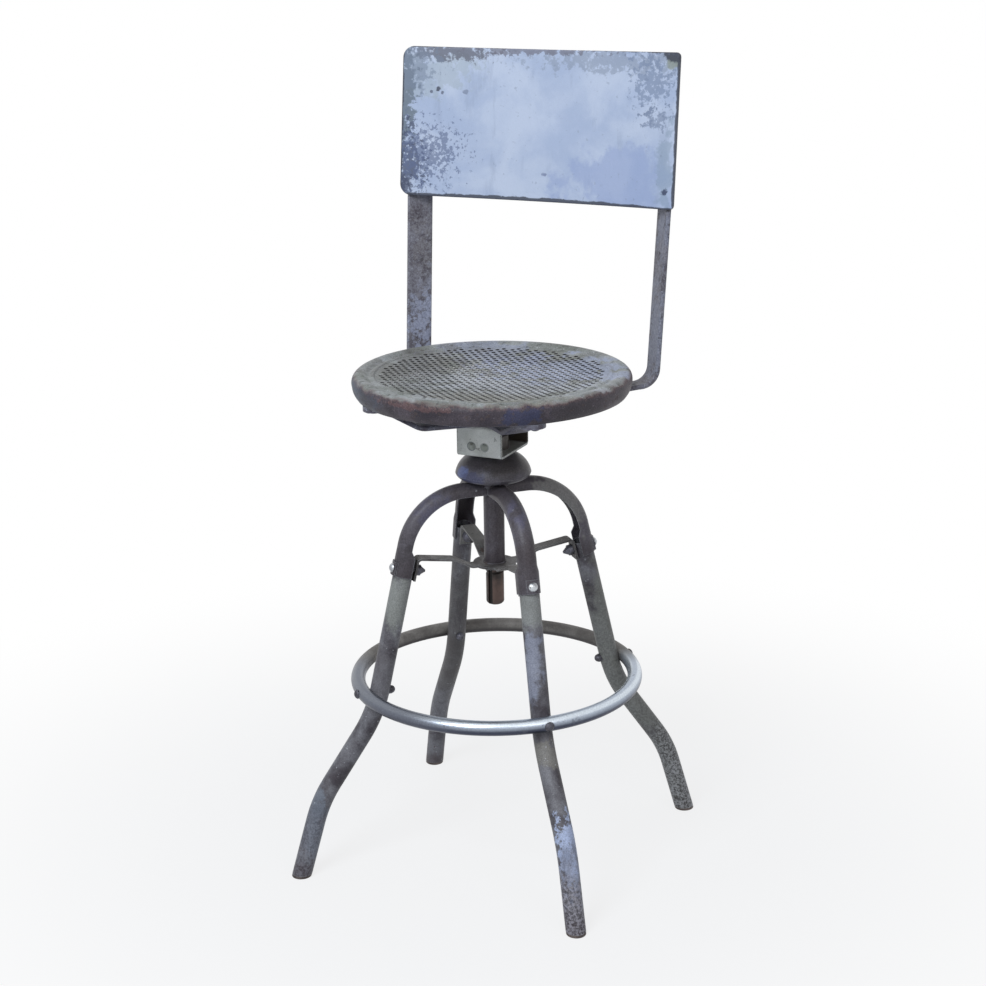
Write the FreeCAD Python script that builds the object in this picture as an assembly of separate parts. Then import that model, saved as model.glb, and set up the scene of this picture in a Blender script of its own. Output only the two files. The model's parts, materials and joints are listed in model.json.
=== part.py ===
"""Machinist stool: steel seat and back on a screw spindle, over four tube legs.

Units are millimetres. +Z is up and the floor is Z = 0. The origin is on the floor
under the spindle axis. The sitter faces -Y, and the backrest stands at +Y.
"""
import FreeCAD, Part
import os
from math import asin, atan2, cos, degrees, hypot, radians, sin, sqrt, tan

from FreeCAD import Placement, Rotation, Vector

X_AXIS = Vector(1, 0, 0)
Y_AXIS = Vector(0, 1, 0)
Z_AXIS = Vector(0, 0, 1)
ORIGIN = Vector(0, 0, 0)

# Seat: a pressed round pan, 14 inches across
SEAT_RADIUS = 177.8
SEAT_TOP = 656.6
SKIRT_BOTTOM = 627.9
SKIRT_DRAFT = 5.0
RIM_WIDTH = 19.0
RIM_FALL = 3.4
DISH_FALL = 7.0
PAN_SHEET = 1.6
PAN_FLANGE_INNER = 154.0

# Perforations of the dish: a plain diagonal grid, coarser than the real one
FIELD_RADIUS = 143.0
VENT_RADIUS = 6.4
VENT_PITCH = 24.0

# Cross bars: two flat bars that cross over the box and turn up as the back uprights
BAR_WIDTH = 34.9
BAR_THICKNESS = 6.35
BAR_EDGE = 2.2
BAR_AZIMUTH = 41.3
BAR_CROSSING_Y = -21.3
BAR_FRONT_END = -158.0
BAR_DROP_FRONT = (-136.0, -88.0)
BAR_DROP_REAR = (115.0, 163.0)
BAR_TWIST_START = 189.0
BAR_TWIST_LENGTH = 12.0
BAR_CORNER = 225.3
BAR_CORNER_RADIUS = 24.0
DROP_RADIUS = 28.0
UPRIGHT_LEAN_OUT = 5.26
UPRIGHT_LEAN_BACK = 4.18
UPRIGHT_TOP = 1008.0

# Back panel: a shallow curved steel pan with a turned edge
PANEL_HALF_WIDTH = 193.2
PANEL_HEIGHT = 194.7
PANEL_BOTTOM = 850.5
PANEL_EDGE_Y = 130.2
PANEL_SAGITTA = 22.8
PANEL_LEAN = 6.54
PANEL_CORNER = 18.0
PANEL_SHEET = 1.3
PANEL_FLANGE = 5.0
CLIP_SHEET = 2.5
CLIP_HEIGHT = 84.0
CLIP_FOOT = (150.0, 189.0)

# Box bracket under the seat, a steel band open at both sides
BOX_WIDTH = 62.0
BOX_DEPTH = 83.0
BOX_BOTTOM = 552.0
BOX_TOP = 593.0
BOX_SHEET = 3.0
BOX_CORNER = 5.0
BEARING_RADIUS = 20.0
BEARING_TOP = 573.0
RIVET_PLACES = (-10.6, 7.6)
RIVET_HEIGHT = 566.0

# Spindle, lifting collar and their guide
RUNNING_FIT = 0.05
SPINDLE_RADIUS = 11.75
SPINDLE_BOTTOM = 344.0
SPINDLE_SHOULDER = 549.4
THREAD_PITCH = 6.35
THREAD_DEPTH = 1.5
THREAD_BOTTOM = 384.0
THREAD_TOP = 546.0
JOURNAL_RADIUS = 8.0
STUB_RADIUS = 6.0
STUB_TOP = 586.0
KEY_WIDTH = 6.35
KEY_HEIGHT = 6.8
KEYWAY_DEPTH = 3.0
KEY_AZIMUTH = 262.0
COLLAR_BOTTOM = 516.5
COLLAR_BELLY = 523.0
COLLAR_TOP = 548.0
COLLAR_RADIUS = 49.0
COLLAR_FOOT_RADIUS = 38.0
COLLAR_CROWN_RADIUS = 27.0
HUB_RADIUS = 20.0
HUB_NECK_RADIUS = 17.2
HUB_BOTTOM = 496.0
HUB_FLANGE_BOTTOM = 506.0
HUB_TOP = 514.5
SLEEVE_RADIUS = 13.5
WASHER_RADIUS = 26.0

# Arms: slim half round channels that arch from the hub and widen to sockets on the legs
ARM_RADIUS = 12.0
ARM_CHEEK = 4.7
ARM_SHEET = 1.6
ARM_ARCH_RADIUS = 79.3
ARM_CENTRE_HEIGHT = 500.0
SOCKET_RADIUS = 14.3
SOCKET_CHEEK = 7.3
SOCKET_NECK = 432.0
SOCKET_TOP = 424.0
SOCKET_FOOT = 397.8
ARM_ROOT = 8.0

# Legs: bent tubes, given as distance from the axis and height
LEG_RADIUS = 12.7
LEG_WALL = 1.6
LEG_TOP_HEIGHT = 415.0
ARM_END = (126.7, 395.3)
LEG_KNEE = (168.9, 213.5)
LEG_ANKLE = (246.7, 102.5)
LEG_FOOT = (277.0, 0.0)
KNEE_RADIUS = 170.0
ANKLE_RADIUS = 170.0
GLIDE_HEIGHT = 4.0
LEG_AZIMUTHS = {
    "rear_right": 45.0,
    "rear_left": 135.0,
    "front_left": 225.0,
    "front_right": 315.0,
}

# Brace between the legs and the spindle sleeve
BRACE_PLATE_RADIUS = 28.0
BRACE_HEIGHT = 398.0
BRACE_SHEET = 3.0
BRACE_STRAP_WIDTH = 19.0
BRACE_RISE_START = 34.0
BRACE_RISE_END = (56.0, 411.8)
BRACE_SHOULDER_HEIGHT = 422.5
BRACE_TAB_END = 394.0
BRACE_TAB_GAP = 0.02
BRACE_BEND_RADII = [14.0, 14.0, 5.0]
ARM_BOLT_HEIGHT = 407.0

# Foot ring, seated in a shallow dent at each leg
RING_RADIUS = 183.0
RING_BAR_RADIUS = 9.5
RING_HEIGHT = 243.9
RING_SPOT_DEPTH = 0.6
RING_HEAD_RADIUS = 6.4

# Fasteners
ARM_BOLT_RADIUS = 4.0
ARM_HEAD_RADIUS = 6.0
ARM_HEAD_HEIGHT = 3.8
SADDLE_SHEET = 2.0
SADDLE_LENGTH = 18.0
SADDLE_HALF_WIDTH = 8.0
RING_BOLT_RADIUS = 3.2
BAR_BOLT_RADIUS = 4.0
SEAT_BOLT_RADIUS = 3.2
PANEL_BOLT_RADIUS = 3.2


def unit(vector):
    """Return a copy of the vector at length one."""
    return vector * (1.0 / vector.Length)


def turned(shape, centre, axis, angle):
    """Return a copy of the shape turned about an axis, in degrees."""
    copy = shape.copy()
    copy.rotate(centre, axis, angle)
    return copy


def moved(shape, offset):
    """Return a copy of the shape moved by a vector."""
    copy = shape.copy()
    copy.translate(offset)
    return copy


def joined(pieces):
    """Fuse the pieces into one solid without the seams between them."""
    if len(pieces) == 1:
        return pieces[0]
    return pieces[0].fuse(pieces[1:]).removeSplitter()


def level_direction(azimuth):
    """Return the level direction at an azimuth from +X, in degrees."""
    return Vector(cos(radians(azimuth)), sin(radians(azimuth)), 0)


def block(x_span, y_span, z_span):
    """Return a block between the given limits."""
    corner = Vector(x_span[0], y_span[0], z_span[0])
    return Part.makeBox(x_span[1] - x_span[0], y_span[1] - y_span[0], z_span[1] - z_span[0], corner)


def post(radius, bottom, top, centre=ORIGIN):
    """Return an upright cylinder between two heights."""
    return Part.makeCylinder(radius, top - bottom, Vector(centre.x, centre.y, bottom), Z_AXIS)


def profile_frame(point, heading, side):
    """Return the placement that sets a flat profile square across a route."""
    return Placement(point, Rotation(side, heading.cross(side), heading, "ZXY"))


def rounded_rectangle(width, depth, radius):
    """Return a rounded rectangular face about the origin of the XY plane."""
    x = width / 2
    y = depth / 2
    edges = []
    for turn, (a, b) in enumerate(((x, y), (y, x), (x, y), (y, x))):
        spin = Rotation(Z_AXIS, 90 * turn)
        start = spin.multVec(Vector(a, b - radius, 0))
        corner = Vector(a - radius + radius * sqrt(0.5), b - radius + radius * sqrt(0.5), 0)
        middle = spin.multVec(corner)
        end = spin.multVec(Vector(a - radius, b, 0))
        before = spin.multVec(Vector(a, radius - b, 0))
        edges.append(Part.LineSegment(before, start).toShape())
        edges.append(Part.Arc(start, middle, end).toShape())
    return Part.Face(Part.Wire(edges))


def channel_face(radius, cheek):
    """Return a face with a half round back below and straight cheeks above."""
    left = Vector(-radius, 0, 0)
    right = Vector(radius, 0, 0)
    rise = Vector(0, cheek, 0)
    edges = [
        Part.Arc(left, Vector(0, -radius, 0), right).toShape(),
        Part.LineSegment(right, right + rise).toShape(),
        Part.LineSegment(right + rise, left + rise).toShape(),
        Part.LineSegment(left + rise, left).toShape(),
    ]
    return Part.Face(Part.Wire(edges))


def route_steps(corners, radii):
    """Turn the corners of a flat route into straight runs and round bends."""
    steps = []
    used = 0.0
    for index in range(1, len(corners)):
        run_x = corners[index][0] - corners[index - 1][0]
        run_z = corners[index][1] - corners[index - 1][1]
        length = hypot(run_x, run_z)
        if index == len(corners) - 1:
            steps.append(("run", length - used))
            break
        next_x = corners[index + 1][0] - corners[index][0]
        next_z = corners[index + 1][1] - corners[index][1]
        turn = atan2(run_x * next_z - run_z * next_x, run_x * next_x + run_z * next_z)
        tangent = radii[index - 1] * tan(abs(turn) / 2)
        steps.append(("run", length - used - tangent))
        steps.append(("bend", radii[index - 1], degrees(turn)))
        used = tangent
    return steps


def follow(face, point, heading, side, steps):
    """Sweep a flat face along runs, bends and twists. Return the solid and the end."""
    face = face.copy()
    face.Placement = profile_frame(point, heading, side)
    pieces = []
    for kind, size, *angle in steps:
        if kind == "run":
            pieces.append(face.extrude(heading * size))
            face = moved(face, heading * size)
            point = point + heading * size
        elif kind == "bend":
            axis = side if angle[0] > 0 else side * -1
            centre = point + axis.cross(heading) * size
            spin = Rotation(axis, abs(angle[0]))
            pieces.append(face.revolve(centre, axis, abs(angle[0])))
            face = turned(face, centre, axis, abs(angle[0]))
            point = centre + spin.multVec(point - centre)
            heading = spin.multVec(heading)
        else:
            start = face
            face = turned(moved(face, heading * size), point, heading, angle[0])
            pieces.append(Part.makeLoft([start.OuterWire, face.OuterWire], True, True))
            point = point + heading * size
            side = Rotation(heading, angle[0]).multVec(side)
    return joined(pieces), (point, heading, side)


def follow_route(face, corners, radii, outward=X_AXIS):
    """Sweep a face along a route in an upright plane through the spindle axis."""
    first, second = corners[0], corners[1]
    heading = unit(outward * (second[0] - first[0]) + Z_AXIS * (second[1] - first[1]))
    point = outward * first[0] + Z_AXIS * first[1]
    return follow(face, point, heading, outward.cross(Z_AXIS), route_steps(corners, radii))[0]


def on_legs(shape):
    """Return the shape, drawn at azimuth zero, once at each leg."""
    return [turned(shape, ORIGIN, Z_AXIS, azimuth) for azimuth in LEG_AZIMUTHS.values()]


def round_head_bolt(point, direction, shank_radius, length, head_radius, head_height):
    """Return a bolt whose domed head stands at the point and whose shank runs along."""
    direction = unit(direction)
    shank = Part.makeCylinder(shank_radius, length, point, direction)
    ball = (head_radius ** 2 + head_height ** 2) / (2 * head_height)
    dome = Part.makeSphere(ball, point + direction * (ball - head_height))
    keep = Part.makeCylinder(head_radius, head_height, point - direction * head_height, direction)
    return joined([shank, dome.common(keep)])


def hexagon(across, height, point, direction, bore):
    """Return a hexagon nut that stands on a point along a direction."""
    direction = unit(direction)
    corners = [level_direction(60 * k) * (across / sqrt(3)) for k in range(6)]
    face = Part.Face(Part.makePolygon(corners + corners[:1]))
    nut = face.extrude(Z_AXIS * height)
    shoulder = height * 0.65
    rounded = Part.makeCylinder(across * 0.66, shoulder)
    crown = Part.makeCone(across * 0.66, across * 0.48, height - shoulder, Vector(0, 0, shoulder))
    rounded = rounded.fuse(crown)
    nut = nut.common(rounded)
    if bore > 0:
        nut = nut.cut(Part.makeCylinder(bore, height * 2, Vector(0, 0, -height / 2)))
    nut.Placement = Placement(point, Rotation(Z_AXIS, direction))
    return nut


def cap_nut(point, direction, radius, height, bore, bore_depth, pointed):
    """Return a round cap nut, domed or pointed, with a blind bore."""
    direction = unit(direction)
    collar = height * 0.45
    barrel = Part.makeCylinder(radius, collar)
    if pointed:
        cap = Part.makeCone(radius * 0.86, radius * 0.22, height - collar, Vector(0, 0, collar))
    else:
        ball = radius * 0.92
        cap = Part.makeSphere(ball, Vector(0, 0, collar)).common(
            Part.makeCylinder(radius, height, Vector(0, 0, collar)))
    nut = joined([barrel, cap]).cut(Part.makeCylinder(bore, bore_depth))
    nut.Placement = Placement(point, Rotation(Z_AXIS, direction))
    return nut


# Legs


def leg_line(height):
    """Return the distance of the upper leg's centreline from the axis at a height."""
    share = (ARM_END[1] - height) / (ARM_END[1] - LEG_KNEE[1])
    return ARM_END[0] + share * (LEG_KNEE[0] - ARM_END[0])


def leg_slope():
    """Return the downward heading of the upper leg."""
    return unit(Vector(LEG_KNEE[0] - ARM_END[0], 0, LEG_KNEE[1] - ARM_END[1]))


def beside_leg(height, offset):
    """Return a point offset inward from the upper leg's centreline at a height."""
    inward = arm_bolt_direction()
    return (leg_line(height) + inward.x * offset, height + inward.z * offset)


def foot_extension(depth):
    """Return a point below the floor on the line of the lower leg."""
    slope = (LEG_FOOT[0] - LEG_ANKLE[0]) / (LEG_ANKLE[1] - LEG_FOOT[1])
    return (LEG_FOOT[0] + slope * depth, LEG_FOOT[1] - depth)


def leg_rod(radius):
    """Return a solid rod on the leg's centreline that runs through the floor."""
    top = (leg_line(LEG_TOP_HEIGHT), LEG_TOP_HEIGHT)
    corners = [top, LEG_KNEE, LEG_ANKLE, foot_extension(30.0)]
    circle = Part.Face(Part.Wire(Part.makeCircle(radius)))
    return follow_route(circle, corners, [KNEE_RADIUS, ANKLE_RADIUS])


def above(shape, height):
    """Return the part of the shape above a height."""
    return shape.cut(block((-400, 400), (-400, 400), (height - 200, height)))


def make_leg():
    """Return one tube leg at azimuth zero, drilled for its two bolts."""
    tube = leg_rod(LEG_RADIUS).cut(leg_rod(LEG_RADIUS - LEG_WALL))
    return above(tube, GLIDE_HEIGHT).cut([arm_bolt_hole(), ring_bolt_hole()])


def make_glide():
    """Return the steel glide in a leg's foot: a disc on the floor and a plug above."""
    sole = leg_rod(LEG_RADIUS - 0.2).common(block((200, 320), (-30, 30), (0, GLIDE_HEIGHT)))
    plug = leg_rod(LEG_RADIUS - LEG_WALL).common(block((200, 320), (-30, 30), (GLIDE_HEIGHT, 20)))
    lower = [edge for edge in sole.Edges if edge.BoundBox.ZMax < 0.01]
    sole = sole.makeFillet(1.2, lower)
    return joined([sole, plug])


# Arms and hub


def arm_bolt_centre():
    """Return the point where an arm bolt crosses the leg's centreline."""
    return Vector(leg_line(ARM_BOLT_HEIGHT), 0, ARM_BOLT_HEIGHT)


def arm_bolt_direction():
    """Return the inward direction of an arm bolt, square to the leg."""
    heading = leg_slope()
    return Vector(heading.z, 0, -heading.x)


def arm_bolt_hole():
    """Return the cylinder that an arm bolt takes up in the leg and the arm."""
    inward = arm_bolt_direction()
    return Part.makeCylinder(ARM_BOLT_RADIUS, 60, arm_bolt_centre() - inward * 30, inward)


def ring_bolt_hole():
    """Return the cylinder that a ring bolt takes up in the ring and the leg."""
    start = Vector(RING_RADIUS + 30, 0, RING_HEIGHT)
    return Part.makeCylinder(RING_BOLT_RADIUS, 90, start, X_AXIS * -1)


def channel_section(radius, cheek):
    """Return the section of a channel pressed from the arms' sheet."""
    return channel_face(radius, cheek).cut(channel_face(radius - ARM_SHEET, cheek + 5)).Faces[0]


def across_leg(face, place):
    """Return a flat face set square across the upper leg at a place."""
    face = face.copy()
    face.Placement = profile_frame(Vector(place[0], 0, place[1]), leg_slope(), X_AXIS.cross(Z_AXIS))
    return face


def make_arm():
    """Return one arm at azimuth zero: a slim arched channel, a throat and a socket."""
    step = SOCKET_RADIUS - ARM_RADIUS
    shoulder = beside_leg(ARM_CENTRE_HEIGHT + arm_bolt_direction().z * step, -step)
    neck = beside_leg(SOCKET_NECK, -step)
    mouth = (leg_line(SOCKET_TOP), SOCKET_TOP)
    foot = (leg_line(SOCKET_FOOT), SOCKET_FOOT)
    slim = channel_section(ARM_RADIUS, ARM_CHEEK)
    wide = channel_section(SOCKET_RADIUS, SOCKET_CHEEK)
    arch = follow_route(slim, [(ARM_ROOT, ARM_CENTRE_HEIGHT), shoulder, neck], [ARM_ARCH_RADIUS])
    socket = follow_route(wide, [mouth, foot], [])
    ends = [across_leg(slim, neck).OuterWire, across_leg(wide, mouth).OuterWire]
    arm = joined([arch, Part.makeLoft(ends, True, True), socket])
    return arm.cut([post(HUB_RADIUS, HUB_FLANGE_BOTTOM, HUB_TOP + 20),
                    post(HUB_NECK_RADIUS, HUB_BOTTOM - 20, HUB_TOP), arm_bolt_hole()])


def make_hub():
    """Return the crown hub that the arms are welded to, slotted for the key."""
    flange = post(HUB_RADIUS, HUB_FLANGE_BOTTOM, HUB_TOP)
    hub = joined([flange, post(HUB_NECK_RADIUS, HUB_BOTTOM, HUB_TOP)])
    hub = hub.cut(post(SPINDLE_RADIUS + RUNNING_FIT, HUB_BOTTOM - 1, HUB_TOP + 1))
    return hub.cut(key_block(0.0, HUB_BOTTOM - 1, HUB_TOP + 1))


def key_block(clearance, bottom, top):
    """Return the space of the guide key, widened by a clearance."""
    half = KEY_WIDTH / 2 + clearance
    inner = SPINDLE_RADIUS - KEYWAY_DEPTH + 0.2 - clearance
    key = block((inner, inner + KEY_HEIGHT), (-half, half), (bottom, top))
    return turned(key, ORIGIN, Z_AXIS, KEY_AZIMUTH)


def make_sleeve():
    """Return the guide tube between the hub and the brace."""
    sleeve = post(SLEEVE_RADIUS, BRACE_HEIGHT - 1.5, HUB_BOTTOM)
    return sleeve.cut(post(SPINDLE_RADIUS + RUNNING_FIT, SPINDLE_BOTTOM, HUB_TOP))


# Brace and foot ring


def make_brace():
    """Return the four armed brace: a round plate, rising straps and bolt tabs."""
    middle = BRACE_HEIGHT + BRACE_SHEET / 2
    offset = LEG_RADIUS + BRACE_SHEET / 2 + BRACE_TAB_GAP
    shoulder = beside_leg(BRACE_SHOULDER_HEIGHT, offset)
    end = beside_leg(BRACE_TAB_END, offset)
    corners = [(20.0, middle), (BRACE_RISE_START, middle), BRACE_RISE_END, shoulder, end]
    strap = rounded_rectangle(BRACE_STRAP_WIDTH, BRACE_SHEET, 0.6)
    straps = on_legs(follow_route(strap, corners, BRACE_BEND_RADII))
    plate = post(BRACE_PLATE_RADIUS, BRACE_HEIGHT, BRACE_HEIGHT + BRACE_SHEET)
    brace = joined([plate] + straps)
    holes = on_legs(arm_bolt_hole())
    return brace.cut([post(SLEEVE_RADIUS, SPINDLE_BOTTOM, HUB_TOP)] + holes)


def make_ring():
    """Return the round foot ring with a dent and a bolt hole at each leg."""
    ring = Part.makeTorus(RING_RADIUS, RING_BAR_RADIUS, Vector(0, 0, RING_HEIGHT))
    spot = Part.makeCylinder(RING_HEAD_RADIUS, 10, ring_bolt_seat(), X_AXIS)
    return ring.cut(on_legs(leg_rod(LEG_RADIUS)) + on_legs(ring_bolt_hole()) + on_legs(spot))


# Fasteners of the base


def make_arm_bolt():
    """Return an arm bolt at azimuth zero, its head on the saddle outside."""
    inward = arm_bolt_direction()
    start = arm_bolt_centre() - inward * (SOCKET_RADIUS + SADDLE_SHEET)
    length = SOCKET_RADIUS + SADDLE_SHEET + LEG_RADIUS + BRACE_SHEET + 7.0
    return round_head_bolt(start, inward, ARM_BOLT_RADIUS, length, ARM_HEAD_RADIUS, ARM_HEAD_HEIGHT)


def make_arm_saddle():
    """Return the curved washer between an arm and its bolt head."""
    heading = leg_slope()
    start = arm_bolt_centre() - heading * (SADDLE_LENGTH / 2)
    shell = Part.makeCylinder(SOCKET_RADIUS + SADDLE_SHEET, SADDLE_LENGTH, start, heading)
    shell = shell.cut(Part.makeCylinder(SOCKET_RADIUS, SADDLE_LENGTH, start, heading))
    outside = block((0, 40), (-SADDLE_HALF_WIDTH, SADDLE_HALF_WIDTH), (-40, 40))
    lean = degrees(atan2(heading.x, -heading.z))
    outside.Placement = Placement(arm_bolt_centre(), Rotation(Y_AXIS, -lean))
    return shell.common(outside).cut(arm_bolt_hole())


def make_arm_nut():
    """Return the pointed cap nut on the inner side of a brace tab."""
    inward = arm_bolt_direction()
    seat = arm_bolt_centre() + inward * (LEG_RADIUS + BRACE_TAB_GAP + BRACE_SHEET)
    return cap_nut(seat, inward, 7.2, 13.0, ARM_BOLT_RADIUS, 7.0, True)


def ring_bolt_seat():
    """Return the middle of the spot face under a ring bolt's head."""
    return Vector(RING_RADIUS + RING_BAR_RADIUS - RING_SPOT_DEPTH, 0, RING_HEIGHT)


def inner_leg_wall():
    """Return how far the leg's inner side is from the axis at the ring's height."""
    return leg_line(RING_HEIGHT) + LEG_RADIUS / leg_slope().z


def make_ring_bolt():
    """Return a ring bolt at azimuth zero, its head outside the ring."""
    seat = ring_bolt_seat()
    length = seat.x - inner_leg_wall() + 5.0
    return round_head_bolt(seat, X_AXIS * -1, RING_BOLT_RADIUS, length, RING_HEAD_RADIUS, 4.4)


def make_ring_nut():
    """Return the small domed nut on the inner side of a leg."""
    seat = inner_leg_wall()
    nut = cap_nut(Vector(seat + 1.4, 0, RING_HEIGHT), X_AXIS * -1, 5.6, 9.0, RING_BOLT_RADIUS, 6.4, False)
    return nut.cut(leg_rod(LEG_RADIUS))


# Spindle and collar


def ring_grooves():
    """Return the thread's grooves as rings at the thread's pitch."""
    grooves = []
    count = int((THREAD_TOP - THREAD_BOTTOM) / THREAD_PITCH)
    for turn in range(count):
        low = THREAD_BOTTOM + turn * THREAD_PITCH
        outline = [
            Vector(SPINDLE_RADIUS + 1, 0, low),
            Vector(SPINDLE_RADIUS - THREAD_DEPTH, 0, low + THREAD_PITCH * 0.22),
            Vector(SPINDLE_RADIUS - THREAD_DEPTH, 0, low + THREAD_PITCH * 0.42),
            Vector(SPINDLE_RADIUS + 1, 0, low + THREAD_PITCH * 0.64),
        ]
        face = Part.Face(Part.makePolygon(outline + outline[:1]))
        grooves.append(face.revolve(ORIGIN, Z_AXIS, 360))
    return grooves


def make_spindle():
    """Return the keyed screw spindle with its journal and threaded stub."""
    body = post(SPINDLE_RADIUS, SPINDLE_BOTTOM, SPINDLE_SHOULDER)
    low = [edge for edge in body.Edges if edge.BoundBox.ZMax < SPINDLE_BOTTOM + 0.01]
    body = body.makeChamfer(2.5, low)
    body = body.cut(ring_grooves())
    keyway = key_block(0.1, SPINDLE_BOTTOM - 1, THREAD_TOP)
    body = body.cut(keyway)
    journal = post(JOURNAL_RADIUS, SPINDLE_SHOULDER, BEARING_TOP + 0.1)
    stub = post(STUB_RADIUS, BEARING_TOP + 0.1, STUB_TOP)
    spindle = joined([body, journal, stub])
    return spindle.cut(cotter_rod(1.3))


def cotter_rod(radius):
    """Return the straight rod on the line of the cotter pin."""
    start = Vector(-13.0, 0, BEARING_TOP + 8.6)
    return Part.makeCylinder(radius, 26.0, start, X_AXIS)


def make_castle_nut():
    """Return the slotted nut that holds the box on the spindle."""
    seat = Vector(0, 0, BEARING_TOP + 1.6)
    nut = hexagon(19.0, 9.6, seat, Z_AXIS, STUB_RADIUS)
    slots = [
        turned(block((0, 14), (-1.5, 1.5), (BEARING_TOP + 7.1, BEARING_TOP + 12)), ORIGIN, Z_AXIS, 60 * k)
        for k in range(6)
    ]
    return nut.cut(slots)


def make_collar():
    """Return the round lifting collar that is the nut of the spindle."""
    bore = SPINDLE_RADIUS + RUNNING_FIT
    foot = Vector(COLLAR_FOOT_RADIUS, 0, COLLAR_BOTTOM)
    belly = Vector(COLLAR_RADIUS, 0, COLLAR_BELLY)
    crown = Vector(COLLAR_CROWN_RADIUS, 0, COLLAR_TOP)
    edges = [
        Part.LineSegment(Vector(bore, 0, COLLAR_BOTTOM), foot).toShape(),
        Part.Arc(foot, Vector(COLLAR_RADIUS - 3.1, 0, COLLAR_BOTTOM + 1.9), belly).toShape(),
        Part.Arc(belly, Vector(COLLAR_RADIUS - 5.2, 0, COLLAR_BELLY + 12.5), crown).toShape(),
        Part.LineSegment(crown, Vector(bore, 0, COLLAR_TOP)).toShape(),
        Part.LineSegment(Vector(bore, 0, COLLAR_TOP), Vector(bore, 0, COLLAR_BOTTOM)).toShape(),
    ]
    return Part.Face(Part.Wire(edges)).revolve(ORIGIN, Z_AXIS, 360)


# Box bracket and its bearing


def bar_bolt_places():
    """Return where the three cross bar bolts stand: crossing, right bar, left bar."""
    along = level_direction(BAR_AZIMUTH) * 30.0
    return [
        Vector(0, BAR_CROSSING_Y, 0),
        Vector(along.x, BAR_CROSSING_Y + along.y, 0),
        Vector(-along.x, BAR_CROSSING_Y + along.y, 0),
    ]


def band_face(shrink):
    """Return the box's side outline in the YZ plane, drawn in by an amount."""
    face = rounded_rectangle(BOX_DEPTH - 2 * shrink, BOX_TOP - BOX_BOTTOM - 2 * shrink,
                             BOX_CORNER - shrink)
    centre = Vector(-BOX_WIDTH / 2 - 1, 0, (BOX_TOP + BOX_BOTTOM) / 2)
    face.Placement = Placement(centre, Rotation(Y_AXIS, Z_AXIS, X_AXIS, "ZXY"))
    return face


def make_box():
    """Return the box bracket, open at its left and right ends."""
    shell = band_face(0).extrude(X_AXIS * (BOX_WIDTH + 2))
    shell = shell.cut(band_face(BOX_SHEET).extrude(X_AXIS * (BOX_WIDTH + 2)))
    box = shell.common(block((-BOX_WIDTH / 2, BOX_WIDTH / 2), (-60, 60), (500, 620)))
    holes = [post(JOURNAL_RADIUS + RUNNING_FIT, BOX_BOTTOM - 5, BOX_BOTTOM + 10)]
    for place in bar_bolt_places():
        holes.append(post(BAR_BOLT_RADIUS, BOX_TOP - 10, BOX_TOP + 5, place))
    for x in RIVET_PLACES:
        start = Vector(x, -BOX_DEPTH / 2 - 5, RIVET_HEIGHT)
        holes.append(Part.makeCylinder(2.5, 12, start, Y_AXIS))
    return box.cut(holes)


def make_bearing_housing():
    """Return the bearing barrel on the box's floor, with a lug to the front wall."""
    floor = BOX_BOTTOM + BOX_SHEET
    barrel = post(BEARING_RADIUS, floor, BEARING_TOP)
    lug = block((-19, 19), (-BOX_DEPTH / 2 + BOX_SHEET, 0), (floor + 3, BEARING_TOP))
    housing = joined([barrel, lug]).cut(post(JOURNAL_RADIUS + RUNNING_FIT, floor - 5, BEARING_TOP + 5))
    for x in RIVET_PLACES:
        start = Vector(x, -BOX_DEPTH / 2, RIVET_HEIGHT)
        housing = housing.cut(Part.makeCylinder(2.5, BOX_SHEET + 9, start, Y_AXIS))
    return housing


def make_rivets():
    """Return the two rivets in the box's front wall."""
    rivets = []
    for x in RIVET_PLACES:
        seat = Vector(x, -BOX_DEPTH / 2, RIVET_HEIGHT)
        rivets.append(round_head_bolt(seat, Y_AXIS, 2.5, BOX_SHEET + 9, 5.0, 2.2))
    return rivets


# Seat pan


def pan_body(inset, drop, bottom):
    """Return the solid of revolution under the pan's skin, set in by a sheet."""
    radius = SEAT_RADIUS - inset
    top = SEAT_TOP - drop
    rim_middle = SEAT_RADIUS - RIM_WIDTH / 2
    rim_inner = SEAT_RADIUS - RIM_WIDTH
    lip = Vector(rim_inner - 1.0, 0, top - RIM_FALL)
    bead = Vector(rim_inner - 6.0, 0, top - RIM_FALL + 1.0)
    dish_edge = Vector(rim_inner - 10.5, 0, top - RIM_FALL - 0.4)
    low_middle = Vector(0, 0, dish_edge.z - DISH_FALL)
    ball = (dish_edge.x ** 2 + DISH_FALL ** 2) / (2 * DISH_FALL)
    half_angle = asin(dish_edge.x / ball) / 2
    dish_half = Vector(ball * sin(half_angle), 0, low_middle.z + ball * (1 - cos(half_angle)))
    foot = Vector(radius - SKIRT_DRAFT, 0, bottom)
    hip = Vector(radius, 0, SEAT_TOP - 14.0)
    crest = Vector(rim_middle, 0, top)
    edges = [
        Part.LineSegment(Vector(0, 0, bottom), foot).toShape(),
        Part.Arc(foot, Vector(radius - 0.9, 0, (bottom + hip.z) / 2 + 1), hip).toShape(),
        Part.Arc(hip, Vector(radius - 2.9, 0, top - 2.9), crest).toShape(),
        Part.Arc(crest, Vector(rim_inner + 3.4, 0, top - 1.1), lip).toShape(),
        Part.Arc(lip, Vector((lip.x + bead.x) / 2 + 0.6, 0, lip.z - 0.25), bead).toShape(),
        Part.Arc(bead, Vector(bead.x - 2.8, 0, bead.z - 0.1), dish_edge).toShape(),
        Part.Arc(dish_edge, dish_half, low_middle).toShape(),
        Part.LineSegment(low_middle, Vector(0, 0, bottom)).toShape(),
    ]
    return Part.Face(Part.Wire(edges)).revolve(ORIGIN, Z_AXIS, 360)


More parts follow.
